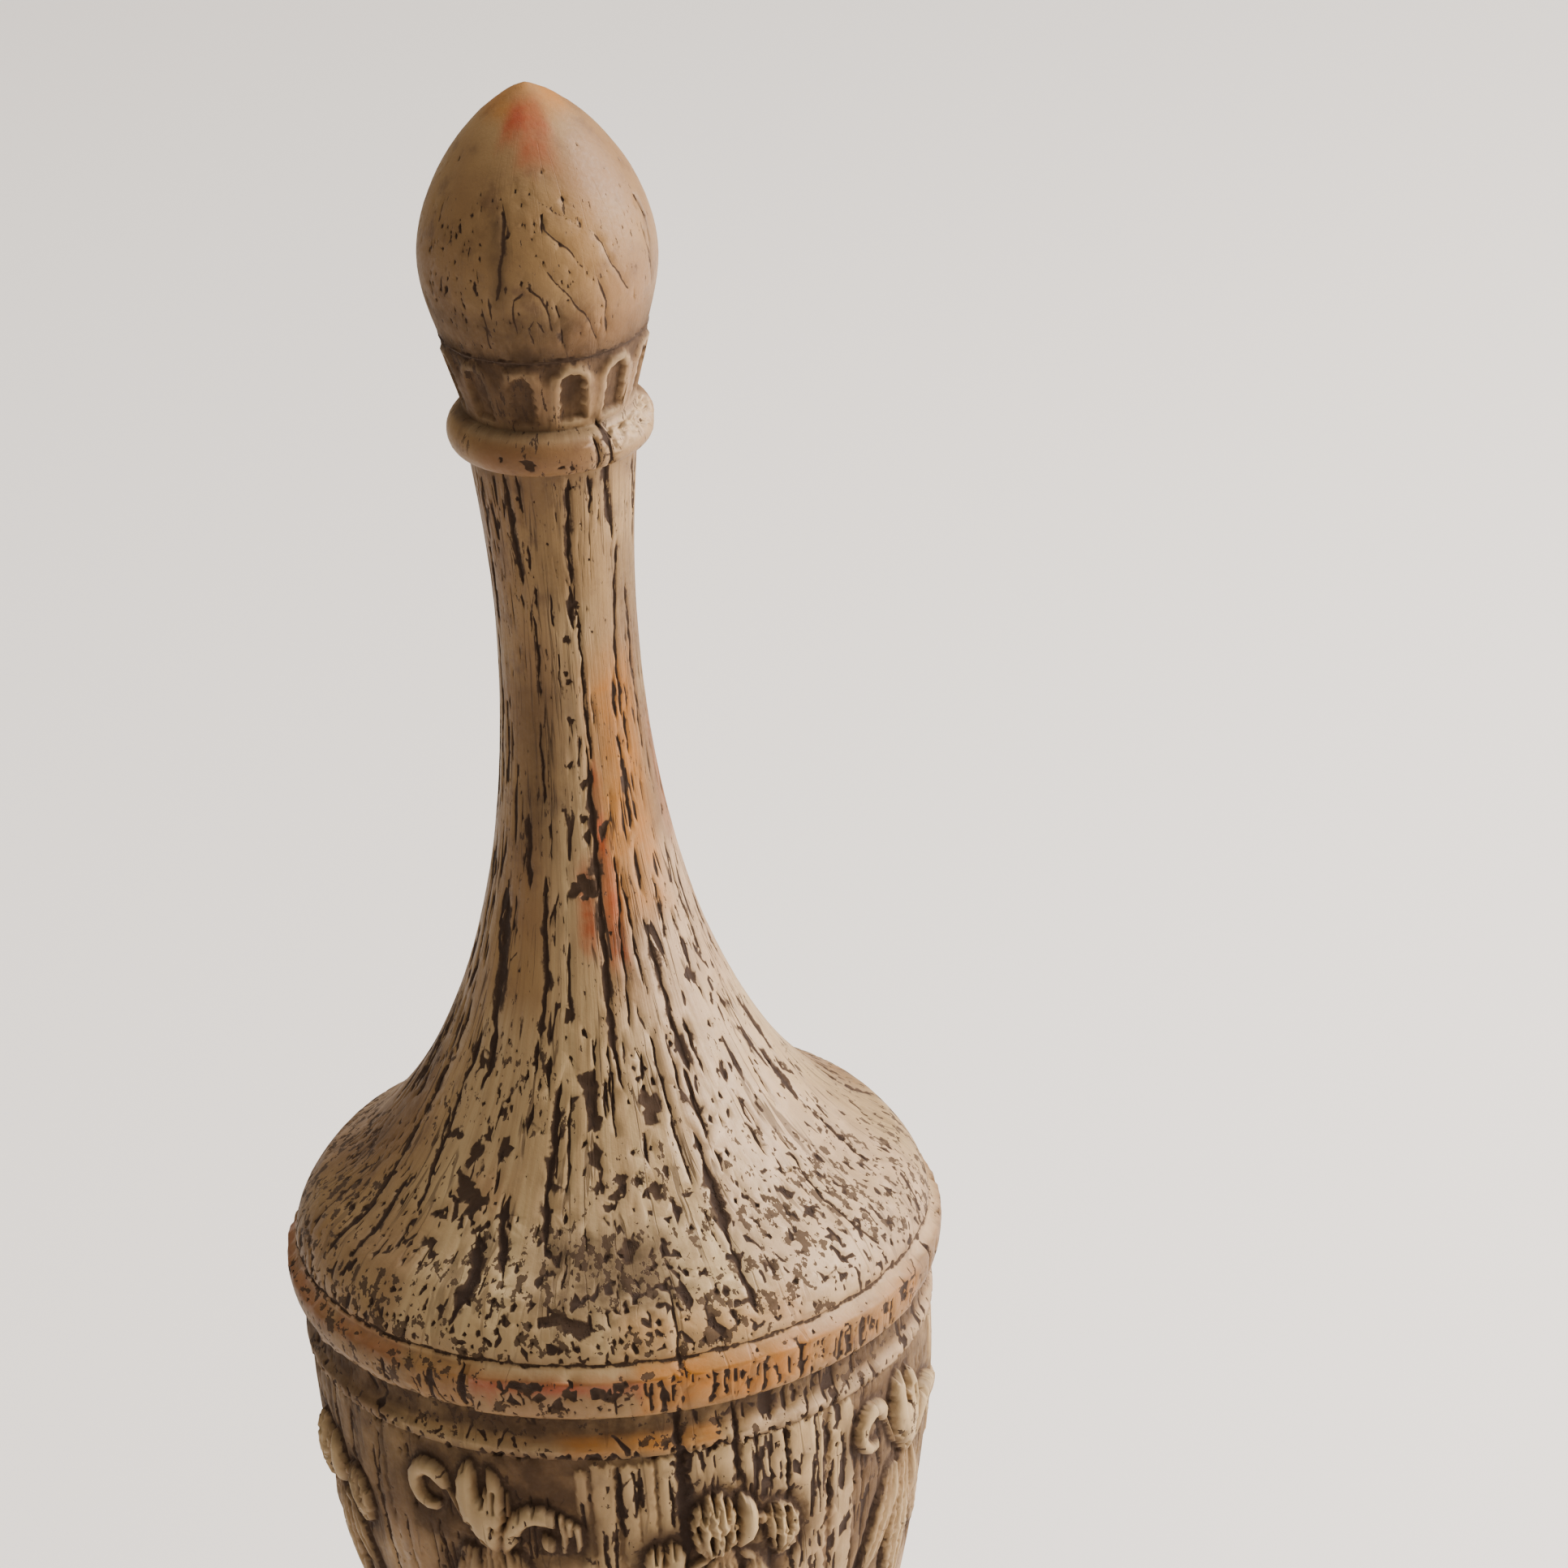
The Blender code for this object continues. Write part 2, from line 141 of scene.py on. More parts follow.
def turnedOutline():
    t = SimpleNamespace(**turned)
    stretches = [
        [(0.5, 0), (t.footRadius - t.edge, 0), (t.footRadius, t.edge), (t.footRadius, t.footEdge - t.edge),
         (t.beadRadius - t.edge, t.footEdge)],
        halfRound(t.footTop, t.footEdge, t.footBead, t.beadRadius),
        curve("foot", (t.footTop, t.footBead), (t.stemRadius, t.stem)),
        halfRound(t.stemRadius, t.stem, t.knop, t.knopRadius),
        [((t.stemRadius + t.waistRadius) / 2 - 1.2, (t.knop + t.waist) / 2), (t.waistRadius, t.waist)],
        curve("belly", (t.waistRadius, t.waist), (t.bellyRadius, t.belly)),
        [(t.lipRadius - 0.3, t.belly + 0.4), (t.lipRadius, t.belly + 1), (t.lipRadius, t.lip - 0.8),
         (t.lipRadius - 0.5, t.lip)],
        curve("cove", (t.lipRadius - 0.5, t.lip), (t.coveRadius + 0.4, t.cove)),
        [(t.bandFoot - t.edge, t.cove), (t.bandFoot, t.cove + t.edge), (t.bandRadius, t.band - t.edge * 0.6),
         (t.bandRadius - t.edge / 2, t.band), (t.shoulderRadius + 0.5, t.band + 1.6),
         (t.shoulderRadius, t.band + 2.2)],
        curve("shoulder", (t.shoulderRadius, t.band + 2.2), (t.shoulderTop, t.shoulder)),
        curve("flare", (t.shoulderTop, t.shoulder), (t.neckRadius, t.flare)),
        curve("neck", (t.neckRadius, t.flare), (t.neckTop, t.neck)),
        halfRound(t.neckTop, t.neck, t.ring, t.ringRadius),
        [(t.cupRadius, t.cup - 0.4), (t.cupRadius - 0.4, t.cup), (t.eggSeat, t.cup)],
        curve("eggFoot", (t.eggSeat, t.cup), (t.eggRadius, t.eggMiddle)),
        curve("egg", (t.eggRadius, t.eggMiddle), (t.tipRadius, urnHeight)),
    ]
    return np.concatenate([np.array(stretch, float) for stretch in stretches])


def surfaceRows():  # radius, height, run along the outline and outward normal of each row
    outline = turnedOutline()
    run = np.concatenate([[0], np.cumsum(np.hypot(*np.diff(outline, axis=0).T))])
    fineRun = np.arange(0, run[-1], turned["drawStep"])
    fine = np.stack([np.interp(fineRun, run, outline[:, k]) for k in (0, 1)], 1)
    reach = int(3 * turned["softening"] / turned["drawStep"])
    weights = np.exp(-0.5 * (np.arange(-reach, reach + 1) * turned["drawStep"] / turned["softening"]) ** 2)
    weights /= weights.sum()
    padded = np.concatenate([2 * fine[:1] - fine[reach:0:-1], fine, 2 * fine[-1:] - fine[-2:-reach - 2:-1]])
    soft = np.stack([np.convolve(padded[:, k], weights, "valid") for k in (0, 1)], 1)
    soft[:, 1] = np.maximum(soft[:, 1], 0)
    picked = [0.0]
    while picked[-1] < fineRun[-1]:
        here = np.interp(picked[-1], fineRun, soft[:, 1])
        picked.append(picked[-1] + np.interp(here, list(rowSteps), list(rowSteps.values())))
    picked = np.array(picked[:-1] + [fineRun[-1]])
    radius, height = (np.interp(picked, fineRun, soft[:, k]) for k in (0, 1))
    slopeR, slopeZ = np.gradient(radius, picked), np.gradient(height, picked)
    steep = np.hypot(slopeR, slopeZ)
    return radius, height, picked, slopeZ / steep, -slopeR / steep


rowRadius, rowHeight, rowRun, normalOut, normalUp = surfaceRows()
rows, columns = len(rowRadius), turned["columns"]
columnAngle = np.arange(columns) * 360 / columns
form = np.zeros((rows, columns), np.float32)  # what stands proud or is hollowed, in millimetres
cuts = np.zeros((rows, columns), np.float32)  # how deep the splits and pits go in from there
paint = {name: np.zeros((rows, columns), np.float32) for name in
         ("stain", "grimeAndShade", "rust", "ochre", "pale", "chalkAndSheen", "pitted", "streaky")}
print("outline drawn,", rows, "rows by", columns, "columns")


def smooth(low, high, value):
    t = np.clip((value - low) / (high - low), 0, 1)
    return t * t * (3 - 2 * t)


def runAt(height):  # run along the outline at a height above the underside
    return np.interp(height, rowHeight, rowRun)


def patch(angles, heights, margin):  # rows, columns and column angles of the surface round a feature
    low, high = runAt(min(heights)) - margin, runAt(max(heights)) + margin
    band = np.nonzero((rowRun >= low) & (rowRun <= high))[0]
    reach = np.degrees(margin / max(rowRadius[band].min(), 4.0))
    first = int(np.floor((min(angles) - reach) * columns / 360))
    last = int(np.ceil((max(angles) + reach) * columns / 360))
    turn = np.arange(first, last + 1)
    return band, turn % columns, turn * 360 / columns


def carve(band, turn, depth, stain):  # keeps the deeper of this cut and what is there
    spot = np.ix_(band, turn)
    cuts[spot] = np.maximum(cuts[spot], depth)
    paint["stain"][spot] = np.maximum(paint["stain"][spot], stain)


def ripple(rng, at, waves, amount):  # a wavy line of a few lengths
    return amount * sum(np.sin(at * 2 * pi / wave + rng.uniform(0, 2 * pi)) for wave in waves) / len(waves)


# How a split wavers: the wave lengths along it, and how far each moves it or widens it
waver = {"wander": ((17, 7.3), 0.3), "quiver": ((3.9, 2.1), 0.08), "swell": ((11, 5.2), 0.4),
         "rightEdge": ((3.1, 1.4), 0.2), "leftEdge": ((2.6, 1.2), 0.2)}
crackShape = {"fill": 0.42, "taper": 2.4}  # half its width as a share, and its tapered end in widths


def cutCrack(rng, path, width, depth, stain=1.0):  # a split along a path of (angle, height) places
    angles, heights = zip(*path)
    band, turn, turnAngle = patch(angles, heights, width + 1.5)
    radius = rowRadius[band][:, None]
    up = rowRun[band][:, None]
    runs = [runAt(height) for height in heights]
    apart = np.full((len(band), len(turn)), 99.0)
    along, side = np.zeros_like(apart), np.zeros_like(apart)
    done = 0.0
    for k in range(len(path) - 1):
        dx = np.radians(angles[k + 1] - angles[k]) * radius
        dy = runs[k + 1] - runs[k]
        length = np.sqrt(dx * dx + dy * dy)
        px, py = np.radians(turnAngle[None, :] - angles[k]) * radius, up - runs[k]
        share = np.clip((px * dx + py * dy) / length ** 2, 0, 1)
        gap = np.hypot(px - share * dx, py - share * dy)
        closer = gap < apart
        apart = np.where(closer, gap, apart)
        along = np.where(closer, done + share * length, along)
        side = np.where(closer, np.sign(px * dy - py * dx), side)
        done = done + length
    wander, quiver, swell, rightEdge, leftEdge = (ripple(rng, along, *waves) for waves in waver.values())
    off = apart * side + wander + quiver
    ends = np.clip(np.minimum(along, done - along) / (width * crackShape["taper"]), 0, 1) ** 0.8
    half = width * crackShape["fill"] * ends * (1 + swell) * (1 + np.where(off > 0, rightEdge, leftEdge))
    near = np.abs(off) / np.maximum(half, 0.02)
    near = np.where(apart > width + 1.2, 9.0, near)
    carve(band, turn, depth * (1 - smooth(0.6, 1.05, near)), stain * (1 - smooth(0.9, 1.25, near)))


def cutPit(rng, angle, height, halfWidth, halfLength, depth, ragged=0.25, stain=1.0):  # a small hole or chip
    band, turn, turnAngle = patch((angle,), (height,), max(halfWidth, halfLength) * 1.6 + 0.6)
    across = np.radians(turnAngle[None, :] - angle) * rowRadius[band][:, None]
    along = rowRun[band][:, None] - runAt(height)
    tilt = rng.normal(0, 0.25)
    across, along = across + along * tilt, along - across * tilt
    around = np.arctan2(along / halfLength, across / halfWidth)
    waves = sum(np.sin(lobes * around + rng.uniform(0, 2 * pi)) / lobes ** 0.5 for lobes in (2, 3, 5, 8))
    edge = 1 + ragged * waves / 2
    near = np.hypot(across / halfWidth, along / halfLength) / np.maximum(edge, 0.3)
    carve(band, turn, depth * (1 - smooth(0.6, 1.1, near)), stain * (1 - smooth(0.85, 1.2, near)))


# Splits listed one by one, nearly all as the photograph shows them: the width of each, then its places as
# angle and height. Heights from here on are above the rim band's top edge.
splits = {
    "egg": {"depth": 0.14, "stain": 0.8, "cracks": [
        (0.9, (-18, 254), (-17, 248), (-19, 238), (-22, 233)), (0.7, (-25, 235), (-26, 229)),
        (0.5, (-29, 232), (-30, 222)), (0.6, (-7, 236.5), (-13, 234), (-15, 230), (-12, 226)),
        (0.6, (-7, 236.5), (0, 234.5), (3, 230), (5, 226)), (0.5, (-4, 229.5), (-7, 227), (-5, 223)),
        (0.5, (-4, 229.5), (-1, 228), (0, 225)), (0.5, (2, 240.5), (12, 235), (21, 229), (28, 222)),
        (0.7, (28, 237), (32, 231), (33.5, 223)), (0.5, (2, 249.5), (13, 245), (22, 239.5)),
        (0.4, (1, 254), (13, 251.5), (26, 247.5)), (0.6, (30, 246.5), (38, 238.5), (47, 231)),
        (0.5, (64, 244), (66, 236), (69, 229)), (0.5, (120, 252), (122, 238)), (0.9, (168, 250), (170, 232)),
        (0.6, (-110, 247), (-108, 229)), (0.5, (205, 243), (214, 232), (220, 225))]},
    "ring": {"depth": 0.5, "stain": 0.9, "cracks": [
        (1.3, (30, 203), (33, 197), (36, 191)), (0.7, (-20, 191.5), (2, 191), (22, 192)),
        (0.8, (24, 200), (26, 192))]},
    "neck": {"depth": 0.4, "stain": 0.9, "cracks": [
        (1.4, (-37, 191), (-36, 180), (-34, 163)), (0.8, (-28, 191), (-25, 181)), (0.7, (-25, 174), (-25, 167)),
        (0.7, (-23, 164), (-23, 158)), (0.7, (-26, 157), (-26, 137)), (0.7, (-28, 132), (-27, 112)),
        (1.0, (9, 190), (6, 180), (6, 164)), (1.3, (5, 164), (4, 153)), (0.7, (10, 157), (9, 140), (10, 122)),
        (0.9, (23, 190), (23, 180)), (1.4, (34, 192), (38, 182), (43, 172)),
        (0.8, (47, 172), (41, 150), (40, 130)), (0.7, (42, 132), (43, 121)), (1.0, (35, 140), (35, 130)),
        (1.0, (35, 127), (35, 104)),
        (1.0, (34, 101), (34, 90)), (1.5, (8, 121), (7, 108), (7, 92)), (1.7, (7, 93), (6, 76), (5, 56)),
        (1.3, (-27, 96), (-26, 84), (-24, 72), (-26, 60)), (0.6, (-18, 93), (-24, 84)),
        (3.2, (-55, 90), (-52, 72), (-50, 60)), (1.6, (-41, 110), (-37, 92)),
        (1.4, (31, 85), (33, 72), (33, 60)),
        (0.9, (44, 93), (43, 78)), (0.6, (20, 100), (16, 80), (14, 62)), (1.0, (68, 190), (75, 168)),
        (0.9, (-62, 188), (-66, 172)), (0.8, (58, 160), (60, 120)), (0.8, (64, 98), (66, 70)),
        (0.7, (52, 84), (54, 62)), (0.8, (-75, 150), (-74, 118)), (0.7, (22, 96), (24, 70)),
        (0.8, (-13, 82), (-12, 64))]},
    "shoulder": {"depth": 0.55, "stain": 0.95, "cracks": [
        (1.7, (-16, 53), (-17, 40), (-17.5, 30), (-16, 21)), (1.6, (28, 40), (27.5, 34)),
        (2.9, (28, 35), (26.5, 26), (25.5, 19)), (1.9, (25.5, 20), (24.5, 15), (25.5, 7)),
        (2.3, (-28, 31), (-28, 26), (-24, 17)), (3.8, (-34, 24), (-30, 17), (-33, 8)),
        (1.2, (-57, 60), (-58, 45), (-56, 33), (-53, 23)), (1.9, (-63, 28), (-61, 20), (-61, 13)),
        (1.5, (-73, 37), (-70, 28), (-67, 18), (-69, 10)), (2.0, (-48, 61), (-47, 52), (-49, 47)),
        (1.5, (-27, 61), (-26.5, 53)), (1.2, (-26, 48), (-26.5, 41)), (2.2, (-21, 58), (-21, 51)),
        (1.4, (16, 57), (15, 51)), (3.8, (33, 63), (34, 50)), (1.2, (32, 52), (31.5, 37)),
        (1.0, (55, 29), (53, 20), (54, 14), (57, 8)), (3.0, (73, 47), (74, 32)), (2.0, (80, 58), (82, 41)),
        (0.7, (-12, 50), (-12, 31)), (0.6, (3, 60), (2.5, 41)), (1.1, (12, 42), (11.5, 35)),
        (1.0, (6, 60), (7, 50)), (0.7, (22, 60), (22, 30)), (0.8, (9.5, 17), (10, 5)),
        (1.3, (-60, 42), (-57, 34)), (1.0, (-80, 20), (-78, 10)), (0.9, (39, 62), (39.5, 48)),
        (0.7, (63, 44), (62, 36))]},
    "rim": {"depth": 0.6, "cracks": [
        (1.3, (4, -0.6), (4, -10)), (1.9, (6, -0.6), (6.2, -10.2)), (1.0, (8, -1.5), (7.6, -8)),
        (2.2, (-29, 2), (-29.5, -10)), (1.6, (31.5, 0), (31.5, -10)), (0.9, (36, -0.5), (36, -4)),
        (1.0, (15, 0), (15, -7)), (1.0, (17, -0.5), (17.2, -8)), (0.8, (20, -1), (20, -5)),
        (1.0, (24.5, -2), (24, -9.5)), (1.4, (-46, -1), (-46, -9)), (1.2, (54, -1), (54, -9)),
        (1.1, (46, -2), (46, -7)), (1.0, (9.5, 8), (9.5, 0)), (1.6, (70, 3), (71, -9)),
        (1.5, (-83, 2), (-84, -9))]},
    "belly": {"depth": 0.65, "cracks": [
        (2.2, (8.4, -10), (8.4, -22)), (3.4, (8.5, -20), (8.6, -34), (9.0, -56)), (1.9, (19, -12), (19, -33)),
        (1.0, (-6.4, -40), (-5.8, -54)), (2.0, (-2.9, -24), (-2.7, -34), (-2.5, -44)),
        (1.4, (1.0, -24), (1.2, -36)),
        (1.3, (29, -20), (29.2, -40), (30, -62)), (1.0, (35.4, -22), (36, -44)),
        (1.2, (22.8, -20), (22.8, -34)),
        (0.8, (25.4, -24), (25.4, -40)), (2.0, (53, -52), (47, -74), (43, -92)), (1.2, (-62, -24), (-63, -60)),
        (1.0, (-55, -30), (-54, -70)), (1.4, (-68, -22), (-69, -44)), (1.2, (85, -24), (86, -60))]},
}
# Chips and knots: angle, height above the rim, half width, half length
chips = [
    (-5, 51, 2.4, 4.2), (-4, 45, 1.6, 3.2), (-4, 38, 1.9, 3.2), (-3, 32.5, 1.0, 1.8), (16, 46, 3.2, 3.6),
    (-43, 36, 1.9, 3.0), (-42, 30, 3.4, 2.4), (-37, 28, 2.8, 2.6), (-42, 25.5, 1.2, 2.4), (-33, 38.5, 1.7, 2.8),
    (-40, 40, 1.2, 1.8), (-53, 38, 2.4, 1.5), (-37, 45, 1.1, 0.8), (-34, 46, 0.9, 0.8), (-52, 53, 1.2, 2.4),
    (-46, 24.5, 1.8, 1.2), (-34, 24, 1.8, 1.2), (-45, 20, 1.8, 1.6), (-8, 10.6, 4.4, 2.0), (-13, 12, 2.4, 1.8),
    (3, 34, 1.4, 1.6), (7.5, 33, 0.9, 1.5), (1, 31, 1.6, 1.4), (12, 31, 2.0, 1.8), (16, 34, 1.0, 1.4),
    (-1, 29, 1.2, 1.2), (48, 48, 1.0, 2.2), (52, 48, 0.6, 1.0), (55, 38, 0.8, 1.6), (3, 22, 2.2, 2.8),
    (-4, 94, 2.6, 2.8), (1, 92, 2.0, 1.6), (14, 106, 1.0, 2.4), (3, 105, 0.8, 2.4), (8, 159, 1.2, 0.8),
    (-1, 151, 1.2, 0.9), (-4, 143, 0.7, 0.7), (-2, 141, 0.8, 0.8), (-3, 132, 0.8, 1.0), (-6, 121.5, 0.8, 0.9),
    (72, 104, 1.0, 1.2), (4, 117, 1.0, 1.5), (1, 109, 0.8, 1.4), (11, 83, 0.6, 0.5), (-13, 66, 1.0, 2.2),
    (-14, 195, 2.0, 1.3), (10, 193.5, 0.7, 0.7), (4, 194, 0.8, 0.6), (34, 199.5, 1.2, 1.5),
    (-30, 196, 0.8, 0.6),
    (-17, -2, 1.9, 1.7), (-15, -4, 1.4, 1.2), (-10, -3, 1.2, 2.2), (-12, -6, 1.6, 1.6), (-4, -2.5, 0.9, 0.9),
    (-2.5, -4.5, 1.6, 1.6), (52, -3, 1.2, 1.6), (48, -5, 1.0, 2.0), (23, 11, 1.2, 0.9), (20, 29.2, 1.4, 0.7),
]
chipLook = {"depth": 0.45, "ragged": 0.65, "stain": 0.8}
# Scattered pits and dashes: heights above the rim from and to, how many pits and dashes, the pits' half
# size, the dashes' length and width, the depth of both, how far they clump, and the angles that they keep to
allRound = (-180, 180)
scatters = {
    "egg": (221, 263, 120, 14, (0.18, 0.38), (2, 6), (0.3, 0.5), 0.35, 0.95, allRound),
    "eggLeft": (225, 254, 58, 8, (0.2, 0.5), (1.5, 4), (0.3, 0.5), 0.35, 0.6, (-66, -28)),
    "eggMiddle": (236, 256, 16, 0, (0.22, 0.45), (1.5, 4), (0.3, 0.5), 0.35, 0.3, (-14, 24)),
    "neck": (62, 188, 170, 110, (0.2, 0.42), (2, 9), (0.3, 0.5), 0.3, 0.8, allRound),
    "flare": (26, 64, 220, 90, (0.3, 0.6), (2, 9), (0.4, 0.8), 0.6, 0.92, allRound),
    "shoulder": (10, 27, 320, 90, (0.3, 0.75), (1.5, 6), (0.4, 0.8), 0.6, 0.85, allRound),
    "shoulderEdge": (3, 12, 200, 40, (0.3, 0.7), (1.2, 3), (0.4, 0.7), 0.6, 0.3, allRound),
    "band": (-9.6, 1.4, 110, 130, (0.25, 0.6), (1.5, 5), (0.4, 0.8), 0.5, 0.92, allRound),
    "bandFoot": (-10.8, -9.6, 150, 0, (0.35, 0.8), (1, 2), (0.4, 0.8), 0.8, 0.6, allRound),
    "lipFoot": (-22.2, -20.8, 240, 0, (0.4, 0.9), (1, 2), (0.4, 0.8), 0.9, 0.5, allRound),
    "belly": (-85, -22, 160, 240, (0.3, 0.7), (3, 18), (0.45, 1.0), 0.7, 0.6, allRound),
    "lowBelly": (-186, -80, 120, 220, (0.4, 0.9), (4, 24), (0.5, 1.1), 0.7, 0.7, allRound),
    "foot": (-284, -190, 300, 90, (0.4, 0.9), (3, 9), (0.5, 1.0), 0.7, 0.8, allRound),
}
# Long splits for the sides and back, which the photograph doesn't show: heights, count, length, width
longSplits = [(64, 190, 26, (12, 40), (0.7, 1.5)), (10, 62, 34, (8, 24), (0.9, 2.4)),
              (-9.5, -0.5, 22, (4, 9), (0.8, 1.8)), (-75, -22, 44, (10, 34), (0.9, 1.8)),
              (-180, -70, 60, (14, 50), (0.8, 1.8)), (222, 258, 7, (8, 18), (0.5, 1.0))]
longSplitDepth = 0.9
shownSpan = 68.0  # splits within this many degrees of the front are listed one by one


def clumping(rng, angle, height):  # slow patchy field, 0 to 1, that joins up round the urn
    total = 0
    for turns, wave in ((2, 55), (5, 31), (9, 17), (17, 9)):
        total += np.cos(np.radians(angle) * turns + rng.uniform(0, 2 * pi)) * np.cos(
            height * 2 * pi / wave + rng.uniform(0, 2 * pi))
    return np.clip(0.5 + total / 2.6, 0, 1)


def latticeNoise(rng, u, v, around):  # random lattice, smoothly joined, that closes round the urn
    lattice = rng.uniform(-1, 1, (int(v.max()) + 3, around))
    u0, v0 = np.floor(u).astype(int), np.floor(v).astype(int)
    fu, fv = (t * t * (3 - 2 * t) for t in (u - u0, v - v0))
    left, right = u0 % around, (u0 + 1) % around
    return ((lattice[v0, left] * (1 - fu) + lattice[v0, right] * fu) * (1 - fv)
            + (lattice[v0 + 1, left] * (1 - fu) + lattice[v0 + 1, right] * fu) * fv)


def grainField(seed, across, along, radius):  # even random field, 0 to 1, drawn out along the grain
    rng = np.random.default_rng(seed)
    around = int(2 * pi * radius / across)
    coarse = around // 3
    u = np.repeat((np.arange(columns) * around / columns)[None, :], rows, 0)
    v = np.repeat((rowRun / along + 4)[:, None], columns, 1)
    shiftU, shiftV = (latticeNoise(rng, u * coarse / around, v / 3, coarse) for _ in range(2))
    u, v = u + shiftU * 0.9, v + shiftV * 1.3
    total = latticeNoise(rng, u, v, around) + 0.55 * latticeNoise(rng, u * 2, v * 2, around * 2)
    order = np.sort(total[::7, ::5].ravel())
    return np.searchsorted(order, total) / len(order)


def areaMask(start, end, low, high, soft):  # 1 inside an area of the surface, fading over its soft edge
    off = (columnAngle - (start + end) / 2 + 180) % 360 - 180
    across = ((end - start) / 2 - np.abs(off))[None, :] * pi / 180 * rowRadius[:, None]
    across = np.full_like(across, 99.0) if end - start >= 360 else across
    level = np.minimum(rowHeight - rimHeight - low, rimHeight + high - rowHeight)[:, None]
    return smooth(-soft, soft, np.minimum(across, level)).astype(np.float32)


# Worm-eaten pits and hatching that run with the grain. Cells in millimetres at the radius given, then
# areas: angle from and to, height from and to above the rim, share of the surface eaten, soft edge
weathering = {
    "pits": {"across": 1.35, "along": 2.1, "radius": 68.0, "depth": 0.26, "seed": 3, "areas": [
        (-180, 180, 3.2, 9, 0.24, 1.0), (-180, 180, 9, 22, 0.14, 3.0), (-20, 14, 12, 25, 0.30, 3.0),
        (-180, 180, 22, 48, 0.05, 6.0), (38, 80, 4, 32, 0.22, 4.0), (-110, -40, 6, 34, 0.18, 6.0),
        (-48, -28, 18, 46, 0.16, 3.0), (-8, 18, 24, 36, 0.20, 3.0), (-180, 180, -10, 1.8, 0.06, 0.8),
        (-22, -13, -6.5, -0.6, 0.45, 1.0), (-10, 1, -7, -0.6, 0.4, 1.0), (-180, 180, -21, -10.5, 0.18, 1.0),
        (-180, 180, -186, -22, 0.06, 5.0), (-180, 180, -285, -190, 0.12, 5.0)]},
    "hatch": {"across": 1.25, "along": 5.5, "radius": 70.0, "depth": 0.4, "seed": 8, "areas": [
        (2.2, 8.6, -9.4, -0.8, 0.62, 0.6), (-36, -27.6, -10, -0.8, 0.45, 1.0), (9, 66, -9.6, -1.2, 0.30, 1.0),
        (-180, 180, -9.6, -1.2, 0.08, 1.0), (90, 300, -17.5, -10.2, 0.25, 0.8),
        (8, 90, -17.5, -10.2, 0.45, 0.8),
        (20, 80, -21, -17.5, 0.26, 0.6), (9, 50, -80, -21, 0.32, 2.0), (99, 140, -80, -21, 0.36, 2.0),
        (189, 230, -80, -21, 0.36, 2.0), (-12, 9, -80, -21, 0.08, 2.0), (50, 290, -90, -21, 0.12, 2.0),
        (-180, 180, -186, -80, 0.14, 6.0)]},
    "neckHatch": {"across": 0.85, "along": 7.0, "radius": 18.0, "depth": 0.25, "seed": 5, "areas": [
        (-95, -44, 52, 188, 0.28, 4.0), (24, 76, 44, 120, 0.22, 5.0), (-180, 180, 50, 186, 0.07, 5.0),
        (90, 250, 60, 180, 0.14, 8.0), (-30, 2, 60, 112, 0.12, 4.0)]},
}
# Ragged grooves right round: height above the rim, width, depth and how dark the stain is
ringCuts = [(2.6, 1.3, 0.4, 0.6), (-10.6, 0.7, 0.5, 0.95), (-21.9, 0.7, 0.5, 0.95), (218.4, 3.0, 0.35, 0.58)]


def eatTheGrain():
    patchy = clumping(np.random.default_rng(41), columnAngle[None, :], (rowHeight - rimHeight)[:, None])
    for kind in weathering.values():
        share = np.zeros((rows, columns), np.float32)
        for start, end, low, high, strength, soft in kind["areas"]:
            share = np.maximum(share, strength * areaMask(start, end, low, high, soft))
        share *= 0.5 + 0.5 * patchy
        field = grainField(kind["seed"], kind["across"], kind["along"], kind["radius"])
        hole = smooth(0.0, 0.09, field - 1 + share) * (share > 0.004)
        cuts[:] = np.maximum(cuts, kind["depth"] * hole)
        paint["stain"][:] = np.maximum(paint["stain"], 0.95 * smooth(0.2, 0.8, hole))
    rng = np.random.default_rng(23)
    for height, width, depth, stain in ringCuts:
        cutCrack(rng, [(angle, rimHeight + height) for angle in range(-180, 181, 12)], width, depth, stain)


def placesFor(rng, heights, angles, clump, count):  # spread places, more of them where the patchy field is high
    angle = rng.uniform(*angles, count * 4)
    height = rng.uniform(*heights, count * 4)
    kept = rng.uniform(0, 1, count * 4) < 1 - clump * (1 - clumping(rng, angle, height) ** 1.5)
    return list(zip(angle[kept], height[kept]))[:count]


